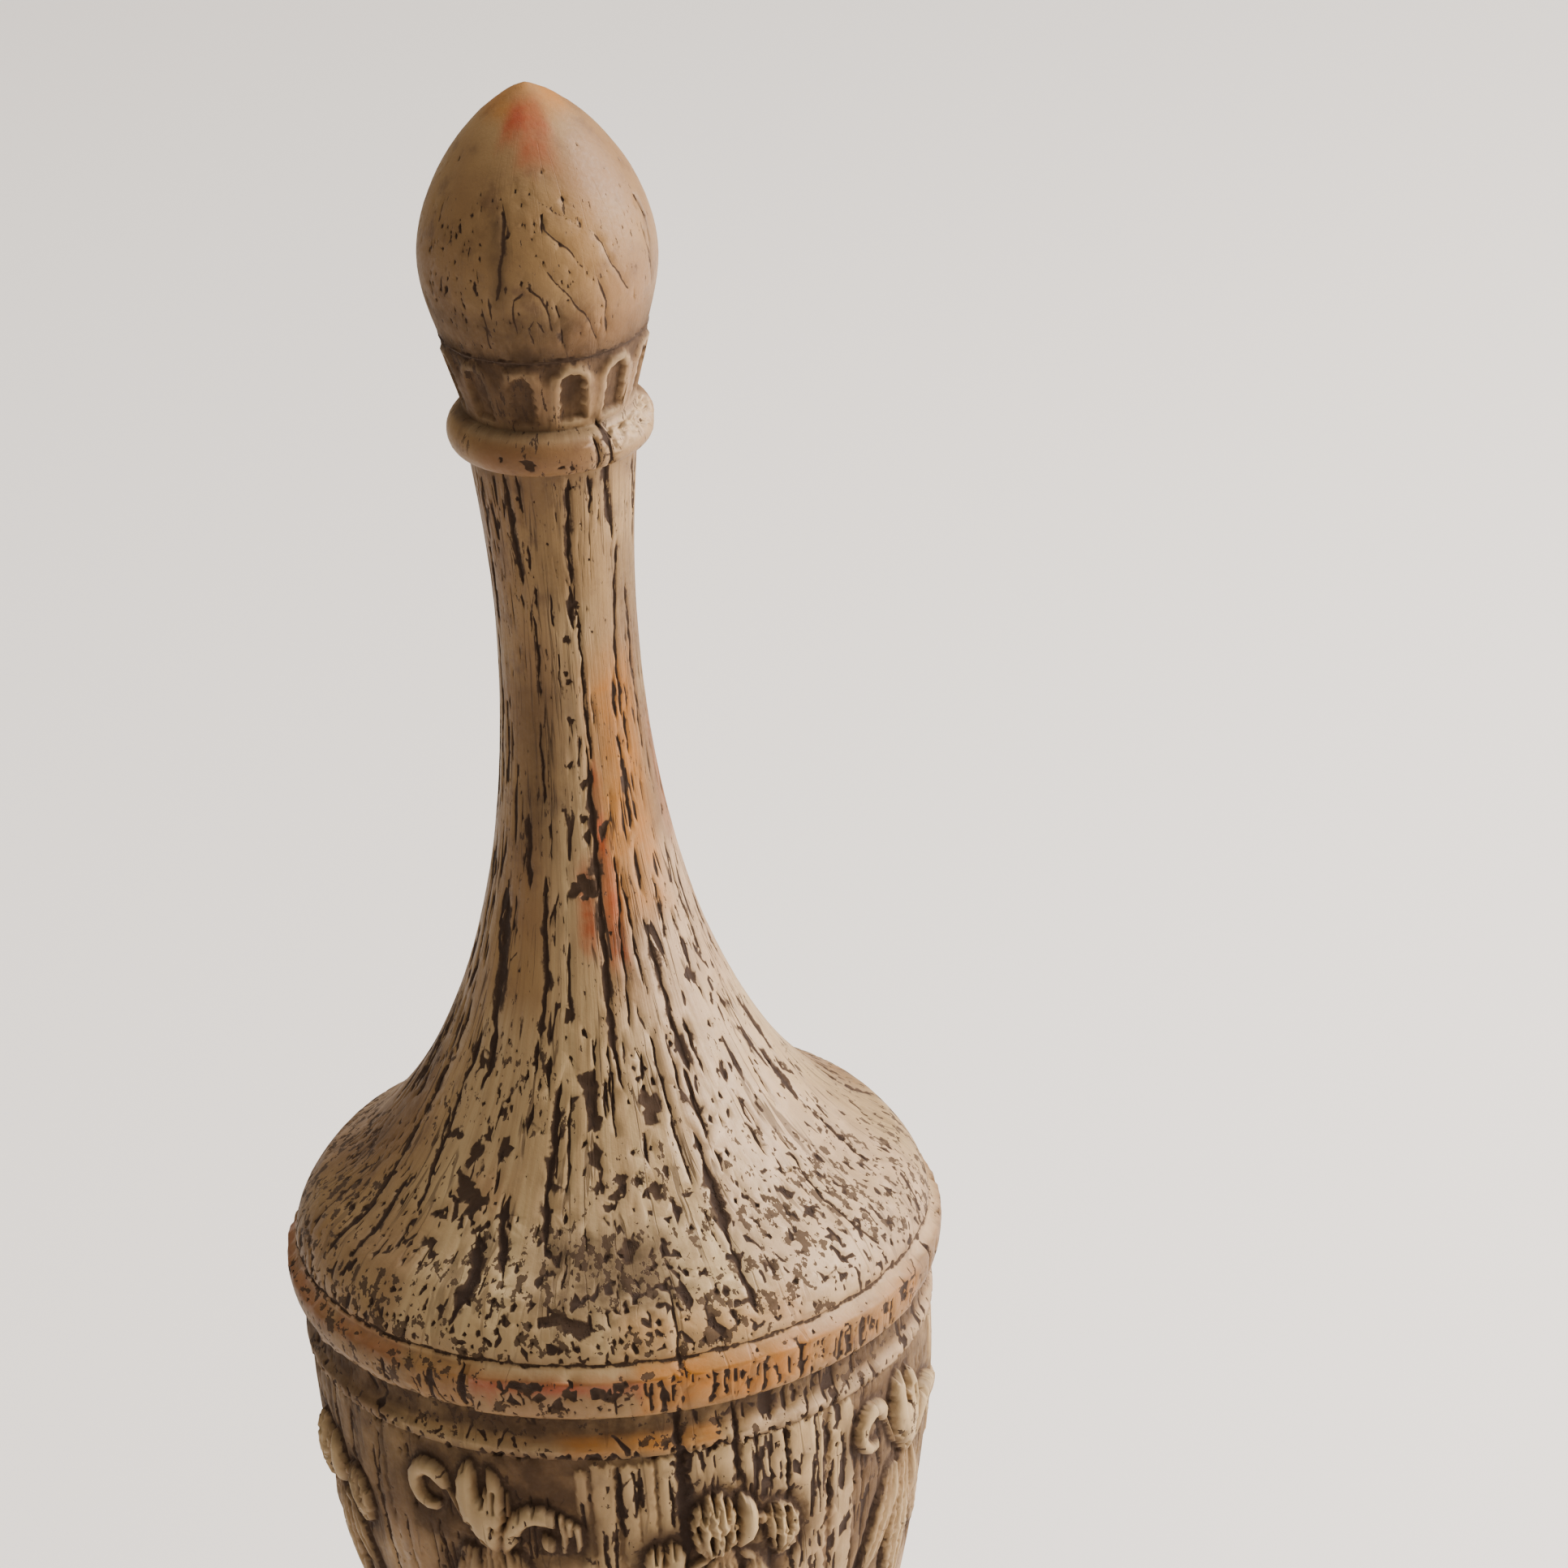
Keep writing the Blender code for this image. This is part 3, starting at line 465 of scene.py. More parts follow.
def splitTheWood():
    rng = np.random.default_rng(1907)
    for part in splits.values():
        for width, *path in part["cracks"]:
            cutCrack(rng, [(angle, rimHeight + height) for angle, height in path], width, part["depth"],
                     part.get("stain", 1.0))
    for angle, height, halfWidth, halfLength in chips:
        cutPit(rng, angle, rimHeight + height, halfWidth, halfLength, chipLook["depth"], chipLook["ragged"],
               chipLook["stain"])
    for low, high, count, lengths, widths in longSplits:
        for _ in range(count):
            angle, top = rng.uniform(shownSpan, 360 - shownSpan), rng.uniform(low, high)
            foot = max(top - rng.uniform(*lengths), low)
            lean = rng.normal(0, 1.5, 2)
            path = [(angle, rimHeight + top), (angle + lean[0], rimHeight + (top + foot) / 2),
                    (angle + lean[1], rimHeight + foot)]
            if top - foot > 3:
                cutCrack(rng, path, rng.uniform(*widths), longSplitDepth)
    for low, high, pits, dashes, size, lengths, widths, depth, clump, angles in scatters.values():
        for angle, top in placesFor(rng, (low, high), angles, clump, dashes):
            foot = max(top - rng.uniform(*lengths), low)
            path = [(angle, rimHeight + top), (angle + rng.normal(0, 0.4), rimHeight + foot)]
            if top - foot > 1:
                cutCrack(rng, path, rng.uniform(*widths), depth)
        for angle, height in placesFor(rng, (low, high), angles, clump, pits):
            half = rng.uniform(*size)
            cutPit(rng, angle, rimHeight + height, half, half * rng.uniform(1.0, 2.2), depth)


# The carving, in millimetres from each motif's own centre. A path has stops of right, up, half width and
# height. A leaf has its top, its tip, then half width, bow, height and number of flutes. A slit runs from
# one right and up to another, and has a width.
carving = {"drop": 36.0, "pairs": 4, "halfSpan": 24.0, "up": 14.0, "down": 66.0,
           "fullness": 0.85, "roundness": 0.36, "fluteDepth": 0.34, "sunk": 0.5}
budMotif = {
    "angle": -29.0, "nicks": 90, "flutes": {},
    "paths": [
        [(0.4, 0.5, 4.2, 3.6), (0.5, -4.0, 4.2, 4.2), (1.2, -8.0, 2.9, 3.4), (2.4, -12.0, 1.0, 1.4)],
        [(-2.2, 10.4, 1.0, 1.8), (-3.0, 7.0, 2.2, 3.4), (-3.2, 2.0, 2.5, 4.0), (-2.0, -3.0, 3.0, 4.0)],
        [(2.4, 9.6, 0.6, 1.4), (3.5, 6.5, 1.6, 2.8), (3.7, 2.0, 2.0, 3.6), (2.6, -3.0, 2.8, 3.9)],
        [(6.6, 4.2, 0.4, 1.4), (6.4, -1.5, 0.6, 1.8)],
        [(-8.8, 3.4, 0.5, 1.4), (-4.4, -6.0, 0.6, 1.6)],
        [(-9.4, 3.4, 1.5, 2.2), (-11.0, 6.0, 2.1, 3.2), (-14.2, 6.8, 2.1, 3.5), (-17.0, 4.4, 1.9, 3.2),
         (-17.4, 0.8, 1.7, 2.9), (-15.6, -2.2, 1.6, 2.7), (-12.6, -3.2, 1.3, 2.2), (-11.2, -2.0, 0.6, 1.2)],
        [(4.4, -11.8, 0.9, 1.6), (6.0, -8.0, 1.8, 3.0), (8.0, -3.8, 2.1, 3.6), (11.2, -1.0, 2.3, 3.9),
         (14.6, -0.8, 2.3, 3.7), (16.8, -1.8, 1.9, 3.2)],
        [(18.4, -0.8, 0.7, 2.6), (18.9, -5.5, 0.8, 2.4), (18.3, -10.4, 0.6, 1.3)],
        [(20.2, -2.2, 0.8, 3.0), (20.3, -5.4, 0.7, 2.0)],
        [(21.8, -3.4, 0.8, 2.9), (22.1, -7.0, 0.7, 2.4), (21.4, -10.2, 0.5, 1.2)],
        [(14.4, -6.4, 0.9, 1.6), (14.9, -8.4, 1.6, 2.5), (15.3, -10.2, 0.8, 1.4)]],
    "leaves": [
        ((1.0, -13), (0.0, -60), 5.4, 0.0, 3.2, 3), ((-5, -13.5), (-16, -42), 4.2, 2.5, 2.6, 2),
        ((7, -13.5), (16, -42), 4.2, -2.5, 2.6, 2), ((-3.2, -13), (-7, -30), 1.6, 0.5, 3.0, 0),
        ((5.0, -12.5), (8.5, -30), 1.6, -0.5, 3.0, 0)],
    "slits": [
        (0.3, 11.5, 0.1, 2.6, 1.9), (3.7, 4.5, 3.5, -0.5, 0.6), (0.9, 2.6, 0.8, 0.6, 0.8),
        (-3.4, 11.0, -3.3, 8.6, 0.6), (17.6, 1.4, 17.5, -4.2, 0.8), (9.2, -0.2, 9.4, -1.6, 0.5),
        (12.6, 1.6, 12.7, 0.2, 0.5),
        (7.4, -6.5, 8.2, -8.4, 0.6), (-12.6, 5.0, -11.9, 4.0, 0.5), (-2.8, -4.4, -2.5, -5.4, 0.7),
        (2.6, -4.4, 2.6, -5.6, 0.5), (-0.2, -8.6, 0.6, -9.8, 0.6)],
}
bloomMotif = {
    "angle": 16.0, "nicks": 130, "flutes": {0: 4, 3: 3},
    "paths": [
        [(-2.2, -0.6, 3.0, 2.4), (-2.5, -4.0, 5.0, 4.0), (-2.3, -9.5, 5.1, 4.2), (-1.6, -12.8, 3.2, 2.2)],
        [(4.2, -0.4, 0.8, 2.0), (5.5, -4.0, 2.0, 3.7), (5.4, -9.5, 2.1, 3.8), (3.6, -13.2, 1.0, 1.8)],
        [(9.0, -7.4, 1.2, 2.0), (9.1, -8.2, 1.2, 2.0)],
        [(12.6, -6.6, 2.4, 2.0), (14.0, -9.8, 3.9, 3.5), (14.4, -14.6, 3.6, 3.0), (13.4, -18.2, 1.8, 1.5)],
        [(-15.4, -10.4, 1.2, 1.6), (-16.2, -13.6, 2.2, 3.2), (-15.8, -19.4, 1.6, 1.6)],
        [(-12.2, -9.8, 1.3, 1.6), (-11.4, -13.6, 2.4, 3.2), (-12.0, -19.8, 1.6, 1.6)]],
    "leaves": [
        ((-3.0, -15.0), (-9.6, -17.4), 1.2, 0.0, 2.0, 0), ((-1.6, -15.4), (-5.6, -21.4), 1.3, 0.0, 2.2, 0),
        ((3.6, -15.2), (8.0, -18.9), 1.2, 0.0, 2.0, 0), ((0.0, -16.0), (0.0, -48), 5.0, 0.0, 3.0, 3),
        ((-6.5, -17.5), (-14, -36), 3.6, 2.0, 2.4, 2), ((6.5, -17.5), (14, -36), 3.6, -2.0, 2.4, 2)],
    "slits": [
        (-5.0, 1.2, -4.8, -4.2, 0.8), (-2.4, 2.0, -2.3, -3.0, 0.7), (0.4, 1.0, 0.2, -4.6, 0.8),
        (-6.2, -5.5, -5.8, -8.8, 0.6), (-3.2, -9.0, -2.9, -13.4, 1.0), (0.2, -8.6, -0.2, -13.4, 0.9),
        (12.0, -5.2, 12.3, -11.0, 0.8), (15.0, -7.0, 15.2, -13.4, 0.9), (12.4, -13.5, 12.8, -17.6, 0.8),
        (-15.8, -9.6, -15.8, -13.4, 0.6), (-11.6, -9.4, -11.5, -12.6, 0.5)],
}


def leafStops(top, tip, width, bow, height):
    share = np.linspace(0, 1, 11)
    wide = np.interp(share, (0, 0.35, 0.7, 1), (0.5, 1.0, 0.72, 0.1)) * width
    tall = np.interp(share, (0, 0.35, 0.7, 1), (0.6, 1.0, 0.8, 0.25)) * height
    right = top[0] + (tip[0] - top[0]) * share + bow * np.sin(pi * share)
    return np.stack([right, top[1] + (tip[1] - top[1]) * share, wide, tall], 1)


def pathStops(path):  # more stops on a smooth line through the ones given
    given = np.array(path, float)
    padded = np.concatenate([2 * given[:1] - given[1:2], given, 2 * given[-1:] - given[-2:-1]])
    stops = [given[0]]
    for a, b, c, d in zip(padded, padded[1:], padded[2:], padded[3:]):
        for t in np.linspace(0, 1, 6)[1:]:
            stops.append(0.5 * (2 * b + (c - a) * t + (2 * a - 5 * b + 4 * c - d) * t * t
                                + (3 * b - a - 3 * c + d) * t ** 3))
    stops = np.array(stops)
    stops[:, 2:] = np.maximum(stops[:, 2:], 0.3)
    return stops


def alongLine(right, up, x0, y0, x1, y1):  # share of a line nearest to each place, and how far off it is
    dx, dy = x1 - x0, y1 - y0
    share = np.clip(((right - x0) * dx + (up - y0) * dy) / (dx * dx + dy * dy + 1e-9), 0, 1)
    return share, np.hypot(right - x0 - share * dx, up - y0 - share * dy)


def strokeHeight(stops, flutes, right, up, rng):  # height of one stroke over the patch, and how far its edge is
    height, side = np.zeros_like(right), np.zeros_like(right)
    gap = np.full_like(right, 99.0)
    ragged = 1 + ripple(rng, right * 1.3 + up * 0.4, (2.6, 1.5), 0.09)
    ragged = ragged + ripple(rng, up - right * 0.5, (3.7, 2.1), 0.09)
    for (x0, y0, w0, h0), (x1, y1, w1, h1) in zip(stops, stops[1:]):
        share, apart = alongLine(right, up, x0, y0, x1, y1)
        wide = (w0 + (w1 - w0) * share) * ragged
        crown = np.clip(1 - (apart / wide) ** 2, 0, None) ** carving["roundness"]
        tall = carving["fullness"] * (h0 + (h1 - h0) * share) * crown
        dx, dy = x1 - x0, y1 - y0
        signed = ((right - x0) * dy - (up - y0) * dx) / (np.hypot(dx, dy) + 1e-9) / wide
        side = np.where(tall > height, signed, side)
        height = np.maximum(height, tall)
        gap = np.minimum(gap, apart - wide)
    if flutes:  # grooves along the stroke, a little crooked
        wavy = side + ripple(rng, up, (5.3, 2.4), 0.09)
        groove = (0.5 + 0.5 * np.cos(wavy * pi * (flutes + 1) + (flutes % 2 == 0) * pi)) ** 3
        height = height * (1 - carving["fluteDepth"] * groove * (np.abs(side) < 0.9))
    return height, gap


def carveMotif(motif):  # raises one motif, then its copies round the belly
    rng = np.random.default_rng(31)
    middle, first = rimHeight - carving["drop"], motif["angle"]
    band, turn, turnAngle = patch((first - carving["halfSpan"], first + carving["halfSpan"]),
                                  (middle - carving["down"], middle + carving["up"]), 2)
    right = np.radians(turnAngle[None, :] - first) * rowRadius[band][:, None]
    up = np.repeat((rowRun[band] - runAt(middle))[:, None], len(turn), 1)
    height = np.zeros_like(right)
    gap = np.full_like(right, 99.0)
    strokes = [(pathStops(path), motif["flutes"].get(k, 0)) for k, path in enumerate(motif["paths"])]
    strokes += [(leafStops(*leaf), flutes) for *leaf, flutes in motif["leaves"]]
    for stops, flutes in strokes:
        high, edge = strokeHeight(stops, flutes, right, up, rng)
        height = np.maximum(height, high)
        gap = np.minimum(gap, edge)
    for *line, width in motif["slits"]:  # dark slits cut into the raised work
        share, apart = alongLine(right, up, *line)
        height = height * smooth(0.15, 1.0, apart / (width * (1.15 - 0.6 * share)))
    onStroke = smooth(0.6, 1.7, height)
    around = 1 - smooth(0.3, 3.6, gap)
    wide = 1 - smooth(1.0, 9.0, gap)
    stain, grimeAndShade, pale = (paint[name] for name in ("stain", "grimeAndShade", "pale"))
    for k in range(carving["pairs"]):
        spot = np.ix_(band, (turn + k * columns // carving["pairs"]) % columns)
        ground = np.minimum(form[spot], carving["sunk"] * (1 - around)) - carving["sunk"] * around
        form[spot] = ground + height
        cuts[spot] *= 1 - 0.85 * onStroke - 0.5 * around * (1 - onStroke)
        stain[spot] = np.maximum(stain[spot] * (1 - 0.8 * onStroke), around * 0.62) * (1 - onStroke)
        grimeAndShade[spot] = np.maximum(grimeAndShade[spot], wide) * (1 - onStroke * 0.75)
        pale[spot] = np.maximum(pale[spot] * (1 - around), 0.8 * smooth(1.5, 3.0, height))
        for _ in range(motif["nicks"]):  # short nicks along the grain, different on each copy
            pick = rng.integers(0, height.size)
            row, column = divmod(pick, len(turn))
            if height[row, column] > 0.8:
                long = rng.uniform(1.0, 3.5)
                at = rowHeight[band[row]]
                angle = turnAngle[column] + 360 * k / carving["pairs"]
                path = [(angle, at), (angle + rng.normal(0, 0.3), at - long)]
                cutCrack(rng, path, rng.uniform(0.4, 0.75), 0.55, 0.9)


# Pale strips of wood between the motifs, left to right: from, to, top and foot above the rim
planks = [(-10.6, -8.6, -24.5, -52), (-7.8, -3.6, -23.2, -58), (-2.4, 0.4, -23.8, -50), (0.9, 3.5, -23.4, -50),
          (4.3, 7.6, -22.8, -56), (9.6, 18.4, -21.8, -34), (19.8, 28.4, -22.0, -50), (29.6, 37.8, -22.2, -78),
          (38.8, 44.6, -22.8, -70)]
plankRise = (0.55, 0.55, 0.55, 0.165)  # on the front, right, back and left quarter
plankCleanness = (0.95, 0.95, 0.95, 0.3)
plankPaleness = (0.48, 0.4, 0.38, 0.06)


def layPlanks():
    rng = np.random.default_rng(12)
    for k in range(carving["pairs"]):
        for start, end, top, foot in planks:
            turned90 = 360 * k / carving["pairs"]
            start, end = start + turned90 + rng.normal(0, 0.15), end + turned90 + rng.normal(0, 0.15)
            top, foot = top + rng.normal(0, 0.4) * (k > 0), foot + rng.normal(0, 3) * (k > 0)
            band, turn, turnAngle = patch((start, end), (rimHeight + foot, rimHeight + top), 2)
            radius = rowRadius[band][:, None]
            half = radius * np.radians(end - start) / 2
            up = np.repeat((rowHeight[band] - rimHeight)[:, None], len(turn), 1)
            across = np.abs(np.radians(turnAngle[None, :] - (start + end) / 2) * radius)
            across = across * (1 + ripple(rng, up, (9, 4.1, 2.2), 0.16))
            ragged = ripple(rng, across + up * 0.1, (3.1, 1.7), 0.8)
            inside = np.minimum(half - across, np.minimum(top + ragged - up, (up - foot - ragged * 2) * 0.5))
            spot = np.ix_(band, turn)
            strip = smooth(-0.2, 0.3, inside)
            form[spot] = np.maximum(form[spot], plankRise[k] * strip)
            paint["grimeAndShade"][spot] *= 1 - strip * plankCleanness[k]
            paint["pale"][spot] = np.maximum(paint["pale"][spot], plankPaleness[k] * strip)


# Arched niches round the cup. Their rims stand out within the clear span, and are faint elsewhere.
niches = {"count": 12, "first": -16.0, "halfWidth": 2.9, "sill": 2.2, "tall": 12.0, "depth": 1.2, "wall": 0.7,
          "spandrel": 0.7, "rim": 0.2, "clearest": 40.0, "clearSpan": 40.0, "faint": 0.3}


def cutNiches():
    rng = np.random.default_rng(5)
    foot = turned["ring"] + niches["sill"]
    spring = niches["tall"] - niches["halfWidth"]
    for k in range(niches["count"]):
        angle = niches["first"] + 360 * k / niches["count"]
        band, turn, turnAngle = patch((angle,), (foot, turned["cup"]), 6.6)
        across = np.radians(turnAngle[None, :] - angle) * rowRadius[band][:, None]
        up = np.repeat((rowHeight[band] - foot)[:, None], len(turn), 1)
        arch = np.where(up > spring, np.hypot(across, up - spring), np.abs(across)) - niches["halfWidth"]
        inside = np.maximum(arch, -up)
        inside = inside + ripple(rng, up, (4.3, 2.1), 0.35) + ripple(rng, across, (3.7, 1.9), 0.3)
        onCup = (up > -niches["sill"]) & (rowHeight[band][:, None] < turned["cup"] - 0.2)
        spot = np.ix_(band, turn)
        deep = rng.uniform(0.6, 1.0)
        hollow = (1 - smooth(-niches["wall"], 0.1, inside)) * onCup
        own = np.abs(turnAngle[None, :] - angle) <= 180 / niches["count"]
        spandrel = smooth(1.2, 2.6, inside) * smooth(spring - 1, spring + 2.4, up) * onCup * own
        rim = (1 - smooth(0.4, 1.3, np.abs(inside - 0.9))) * onCup * own
        away = abs((angle - niches["clearest"] + 180) % 360 - 180)
        clear = 1.0 if away < niches["clearSpan"] else niches["faint"]
        form[spot] -= niches["depth"] * deep * hollow
        form[spot] -= niches["spandrel"] * spandrel
        form[spot] += niches["rim"] * clear * deep * rim
        # The hollows and spandrels are darkened as dark wash and painted shade.
        kept = paint["grimeAndShade"][spot] * (1 - 0.6 * clear * rim)
        paint["grimeAndShade"][spot] = np.maximum(kept, np.maximum(hollow, spandrel))
        paint["pale"][spot] = np.maximum(paint["pale"][spot], niches["rim"] * clear * deep * rim)


# The rim band is worn round on the left of a break, and the ring has lost a piece on the right
wear = {"breakAngle": -27.5, "wornSpan": 118.0, "rightBreak": 62.0, "rightEnd": 150.0, "rightShare": 0.7,
        "depth": 1.1, "footShare": 0.7, "nibble": 0.35, "arris": 2.2, "foot": 2.0}
ringChip = {"from": 33.0, "to": 96.0, "depth": 2.4, "level": 199.0, "half": 3.6, "lumps": 70,
            "lumpSize": (0.6, 2.2), "lumpSpread": 2.0}


def wearTheRim():
    rng = np.random.default_rng(64)
    signed = (columnAngle + 180) % 360 - 180
    past = (wear["breakAngle"] - signed) % 360
    worn = ((past > 0) & (past < wear["wornSpan"])).astype(float)
    worn += wear["rightShare"] * ((signed > wear["rightBreak"]) & (signed < wear["rightEnd"]))
    waves = sum(np.sin(signed * pi / 180 * k + rng.uniform(0, 6)) for k in (23, 37, 61, 90))
    uneven = 1 + wear["nibble"] * waves / 2
    arris = np.exp(-((rowHeight - turned["band"] - 0.2) / wear["arris"]) ** 2)
    arris *= rowRadius > turned["shoulderRadius"] + 0.4
    below = np.exp(-((rowHeight - turned["cove"] - 1) / wear["foot"]) ** 2)
    below *= rowRadius > turned["coveRadius"] + 1.6
    form[:] -= wear["depth"] * (arris + wear["footShare"] * below)[:, None] * (worn * uneven)[None, :]
    # A crumbly break: lumps of a few sizes bitten out of the ring's top edge
    middle = (ringChip["from"] + ringChip["to"]) / 2
    reach = smooth(0, 5, ringChip["to"] - middle - np.abs(signed - middle))
    level = np.exp(-((rowHeight - rimHeight - ringChip["level"]) / ringChip["half"]) ** 4)
    onRing = (rowHeight > turned["neck"] + 3) & (rowHeight < turned["ring"] + 0.3)
    onRing &= rowRadius > turned["neckTop"] + 0.5
    crumb = np.full((rows, columns), 0.55)
    for _ in range(ringChip["lumps"]):
        angle = rng.uniform(ringChip["from"], ringChip["to"])
        height = rimHeight + ringChip["level"] + rng.normal(0, ringChip["lumpSpread"])
        size = rng.uniform(*ringChip["lumpSize"])
        across = np.radians(signed - angle)[None, :] * rowRadius[:, None]
        lump = np.hypot(across, (rowRun - runAt(height))[:, None] * 1.2) < size
        crumb = np.where(lump, rng.uniform(0.1, 1.0), crumb)
    form[:] -= (ringChip["depth"] * level * onRing)[:, None] * reach[None, :] * crumb
    broken = (level * onRing)[:, None] * reach[None, :]
    paint["pale"][:] = np.maximum(paint["pale"], broken * (0.55 + 0.4 * crumb))
    paint["grimeAndShade"][:] *= 1 - broken


# Colour that lies in areas, as paint and as painted shade and highlight: angle from and to, height from and to
# above the rim, strength, soft edge in mm
washes = {
    "rust": [(-30, 26, 264.5, 271.4, 1.0, 1.5), (-10, 20, 260.5, 267, 0.9, 2.0), (9, 15, 94, 122, 1.0, 0.8),
             (-6, 4, 78, 98, 0.9, 1.0), (9, 19, 76, 98, 0.9, 1.0),
             (-27.5, 3, -3.4, -0.2, 0.9, 0.9), (-60, -42, -2, 2.5, 0.5, 2.0), (-100, -62, -3, 2.5, 0.4, 2.0),
             (-46, 24, 192, 199, 0.14, 2.5), (150, 185, 88, 125, 0.5, 4.0),
             (110, 150, -4, 1, 0.6, 2.0), (70, 100, 96, 128, 0.35, 4.0), (-42, -28, 26, 34, 0.12, 3.0)],
    "ochre": [(2, 34, -9.5, 2.4, 1.0, 1.6), (-12, 16, -20.5, -16.5, 0.8, 1.2), (-40, -27.5, -9, 2.5, 0.35, 2.0),
              (12, 56, 84, 144, 0.85, 4.0), (0, 34, 4, 12, 0.35, 3.0), (-160, -120, -9, 2, 0.6, 3.0),
              (-180, 180, 268, 280, 0.7, 2.0), (30, 64, -9, 1.5, 0.5, 3.0),
              (20, 60, 222, 262, 0.2, 6.0), (190, 230, 20, 60, 0.3, 6.0)],
    # Grime holds dirt and dark wash, and also painted shade: the areas on the left, away from the window,
    # darken that side; the cove under the band, the foot of the lip and the joins below and above the ring are
    # painted shade; round the egg's foot in its cup is a painted contact shadow; the egg's top is darkened
    # against the light from above.
    "grimeAndShade": [(-180, 180, -50, -20.6, 0.9, 4.0), (-180, 180, -17.0, -10.4, 1.0, 0.8),
              (-180, -45, -20, -16, 0.7, 1.0), (-100, -16, -50, -20.6, 1.0, 4.0),
              (-50, -16, 100, 139, 0.6, 5.0), (-90, -48, 8, 34, 0.2, 8.0),
              (-16, 12, 13, 25, 1.0, 3.0), (-110, 12, 221, 266, 0.22, 8.0), (-180, 180, 220, 226, 0.6, 2.5),
              (-100, 24, 221, 231, 0.75, 3.0), (42, 110, 96, 172, 0.55, 4.0), (-22, 20, 158, 191, 0.4, 5.0),
              (-46, 24, 190, 200, 0.25, 3.0), (34, 100, -9, 0, 0.35, 3.0), (-100, -30, -9, 1, 0.35, 3.0),
              (-130, -76, 4, 60, 0.4, 5.0), (-180, 180, 266, 280, 0.25, 4.0), (-180, 180, 215.5, 221, 1.0, 1.2),
              (-90, -24, 222, 238, 0.4, 6.0), (28, 66, -26, -14, 0.4, 3.0), (-100, -20, 203, 220, 0.95, 2.0),
              (-180, 180, 200, 204.5, 0.8, 1.2), (-25, -16, 231, 252, 0.75, 1.6),
              (-180, 180, -24, -20.5, 0.7, 1.2), (60, 120, 4, 30, 0.4, 8.0), (-180, 180, 186, 192, 0.35, 2.0),
              (-180, 180, -205, -184, 0.6, 5.0), (-180, 180, -232, -220, 0.5, 4.0),
              (-180, 180, -278, -264, 0.6, 2.0), (28, 90, -80, -22, 0.8, 5.0), (-180, -110, 10, 30, 0.5, 8.0),
              (130, 180, 20, 60, 0.4, 8.0)],
    # Of the pale areas, the strips on the band's top face and the lip's top edge, and those on the right
    # towards the window, are painted highlight.
    "pale": [(-27, 100, 0.3, 2.2, 0.5, 0.6), (-60, -27, 0.6, 2.2, 0.25, 0.8), (-180, -60, 0.3, 2.2, 0.4, 0.8),
             (-60, 60, 199.5, 201.6, 0.5, 0.8), (26, 70, 40, 100, 0.45, 8.0), (26, 110, 6, 60, 0.65, 8.0),
             (-46, 30, 3, 30, 0.9, 5.0), (-60, 30, 24, 66, 0.7, 6.0), (-48, 8, -20.8, -18.2, 0.55, 0.6),
             (-24, 5, 52, 112, 0.75, 4.0), (-14, 20, 104, 160, 0.55, 4.0), (-70, -46, 5, 60, 0.25, 6.0),
             (8, 90, -20.8, -18.2, 0.4, 0.6)],
    # Chalk on the right, towards the window, is painted sheen on the shoulder, neck, lip and band top; the
    # strip on the ring lightens its pale broken edge.
    "chalkAndSheen": [(28, 86, 3, 60, 0.55, 8.0), (16, 90, 56, 100, 0.5, 8.0), (34, 95, 196, 202, 0.5, 1.2),
              (20, 90, -20.8, -18.2, 0.4, 0.8), (20, 90, 0, 2.4, 0.4, 0.8), (200, 260, 10, 50, 0.3, 8.0)],
}
# How thickly the finest pits lie: heights above the rim from and to, and a strength
pitting = [(-290, -186, 0.5), (-186, -50, 0.35), (-50, -21, 0.5), (-21, -10, 0.8), (-10, 2, 0.8), (2, 12, 1.4),
           (12, 26, 1.2), (26, 60, 0.7), (60, 190, 0.55), (190, 220, 0.7), (220, 255, 0.45)]
# How plainly the painted grain shows at each height above the rim
streakiness = {-290: 0.4, -188: 0.4, -184: 0.6, -22: 0.5, -20: 0.3, 3: 0.3, 30: 0.8, 60: 1.0,
               189: 0.8, 191: 0.0, 215: 0.1, 275: 0.1}


def layWashes():
    for name, areas in washes.items():
        for start, end, low, high, strength, soft in areas:
            paint[name] = np.maximum(paint[name], strength * areaMask(start, end, low, high, soft))
    plain = np.interp(rowHeight - rimHeight, list(streakiness), list(streakiness.values()))
    paint["streaky"][:] = plain[:, None]
    patchy = clumping(np.random.default_rng(77), columnAngle[None, :], (rowHeight - rimHeight)[:, None])
    for low, high, amount in pitting:
        level = smooth(-2, 2, np.minimum(rowHeight - rimHeight - low, rimHeight + high - rowHeight))[:, None]
        pitted = (amount * level * (0.25 + 0.75 * patchy)).astype(np.float32)
        paint["pitted"] = np.maximum(paint["pitted"], pitted)


layWashes()
layPlanks()
eatTheGrain()
splitTheWood()
print("washes and planks laid, splits, chips and pits cut")
carveMotif(budMotif)
carveMotif(bloomMotif)
print("buds, blooms and leaves carved")
cutNiches()
wearTheRim()
print("niches cut, band and ring worn")


def spread(field, upDown, around):  # box blur that wraps round the urn
    for _ in range(2):
        run = np.cumsum(np.pad(field, ((upDown + 1, upDown), (0, 0)), "edge"), 0, dtype=np.float64)
        field = (run[2 * upDown + 1:] - run[:-2 * upDown - 1]) / (2 * upDown + 1)
        run = np.cumsum(np.pad(field, ((0, 0), (around + 1, around)), "wrap"), 1, dtype=np.float64)
        field = (run[:, 2 * around + 1:] - run[:, :-2 * around - 1]) / (2 * around + 1)
    return field.astype(np.float32)


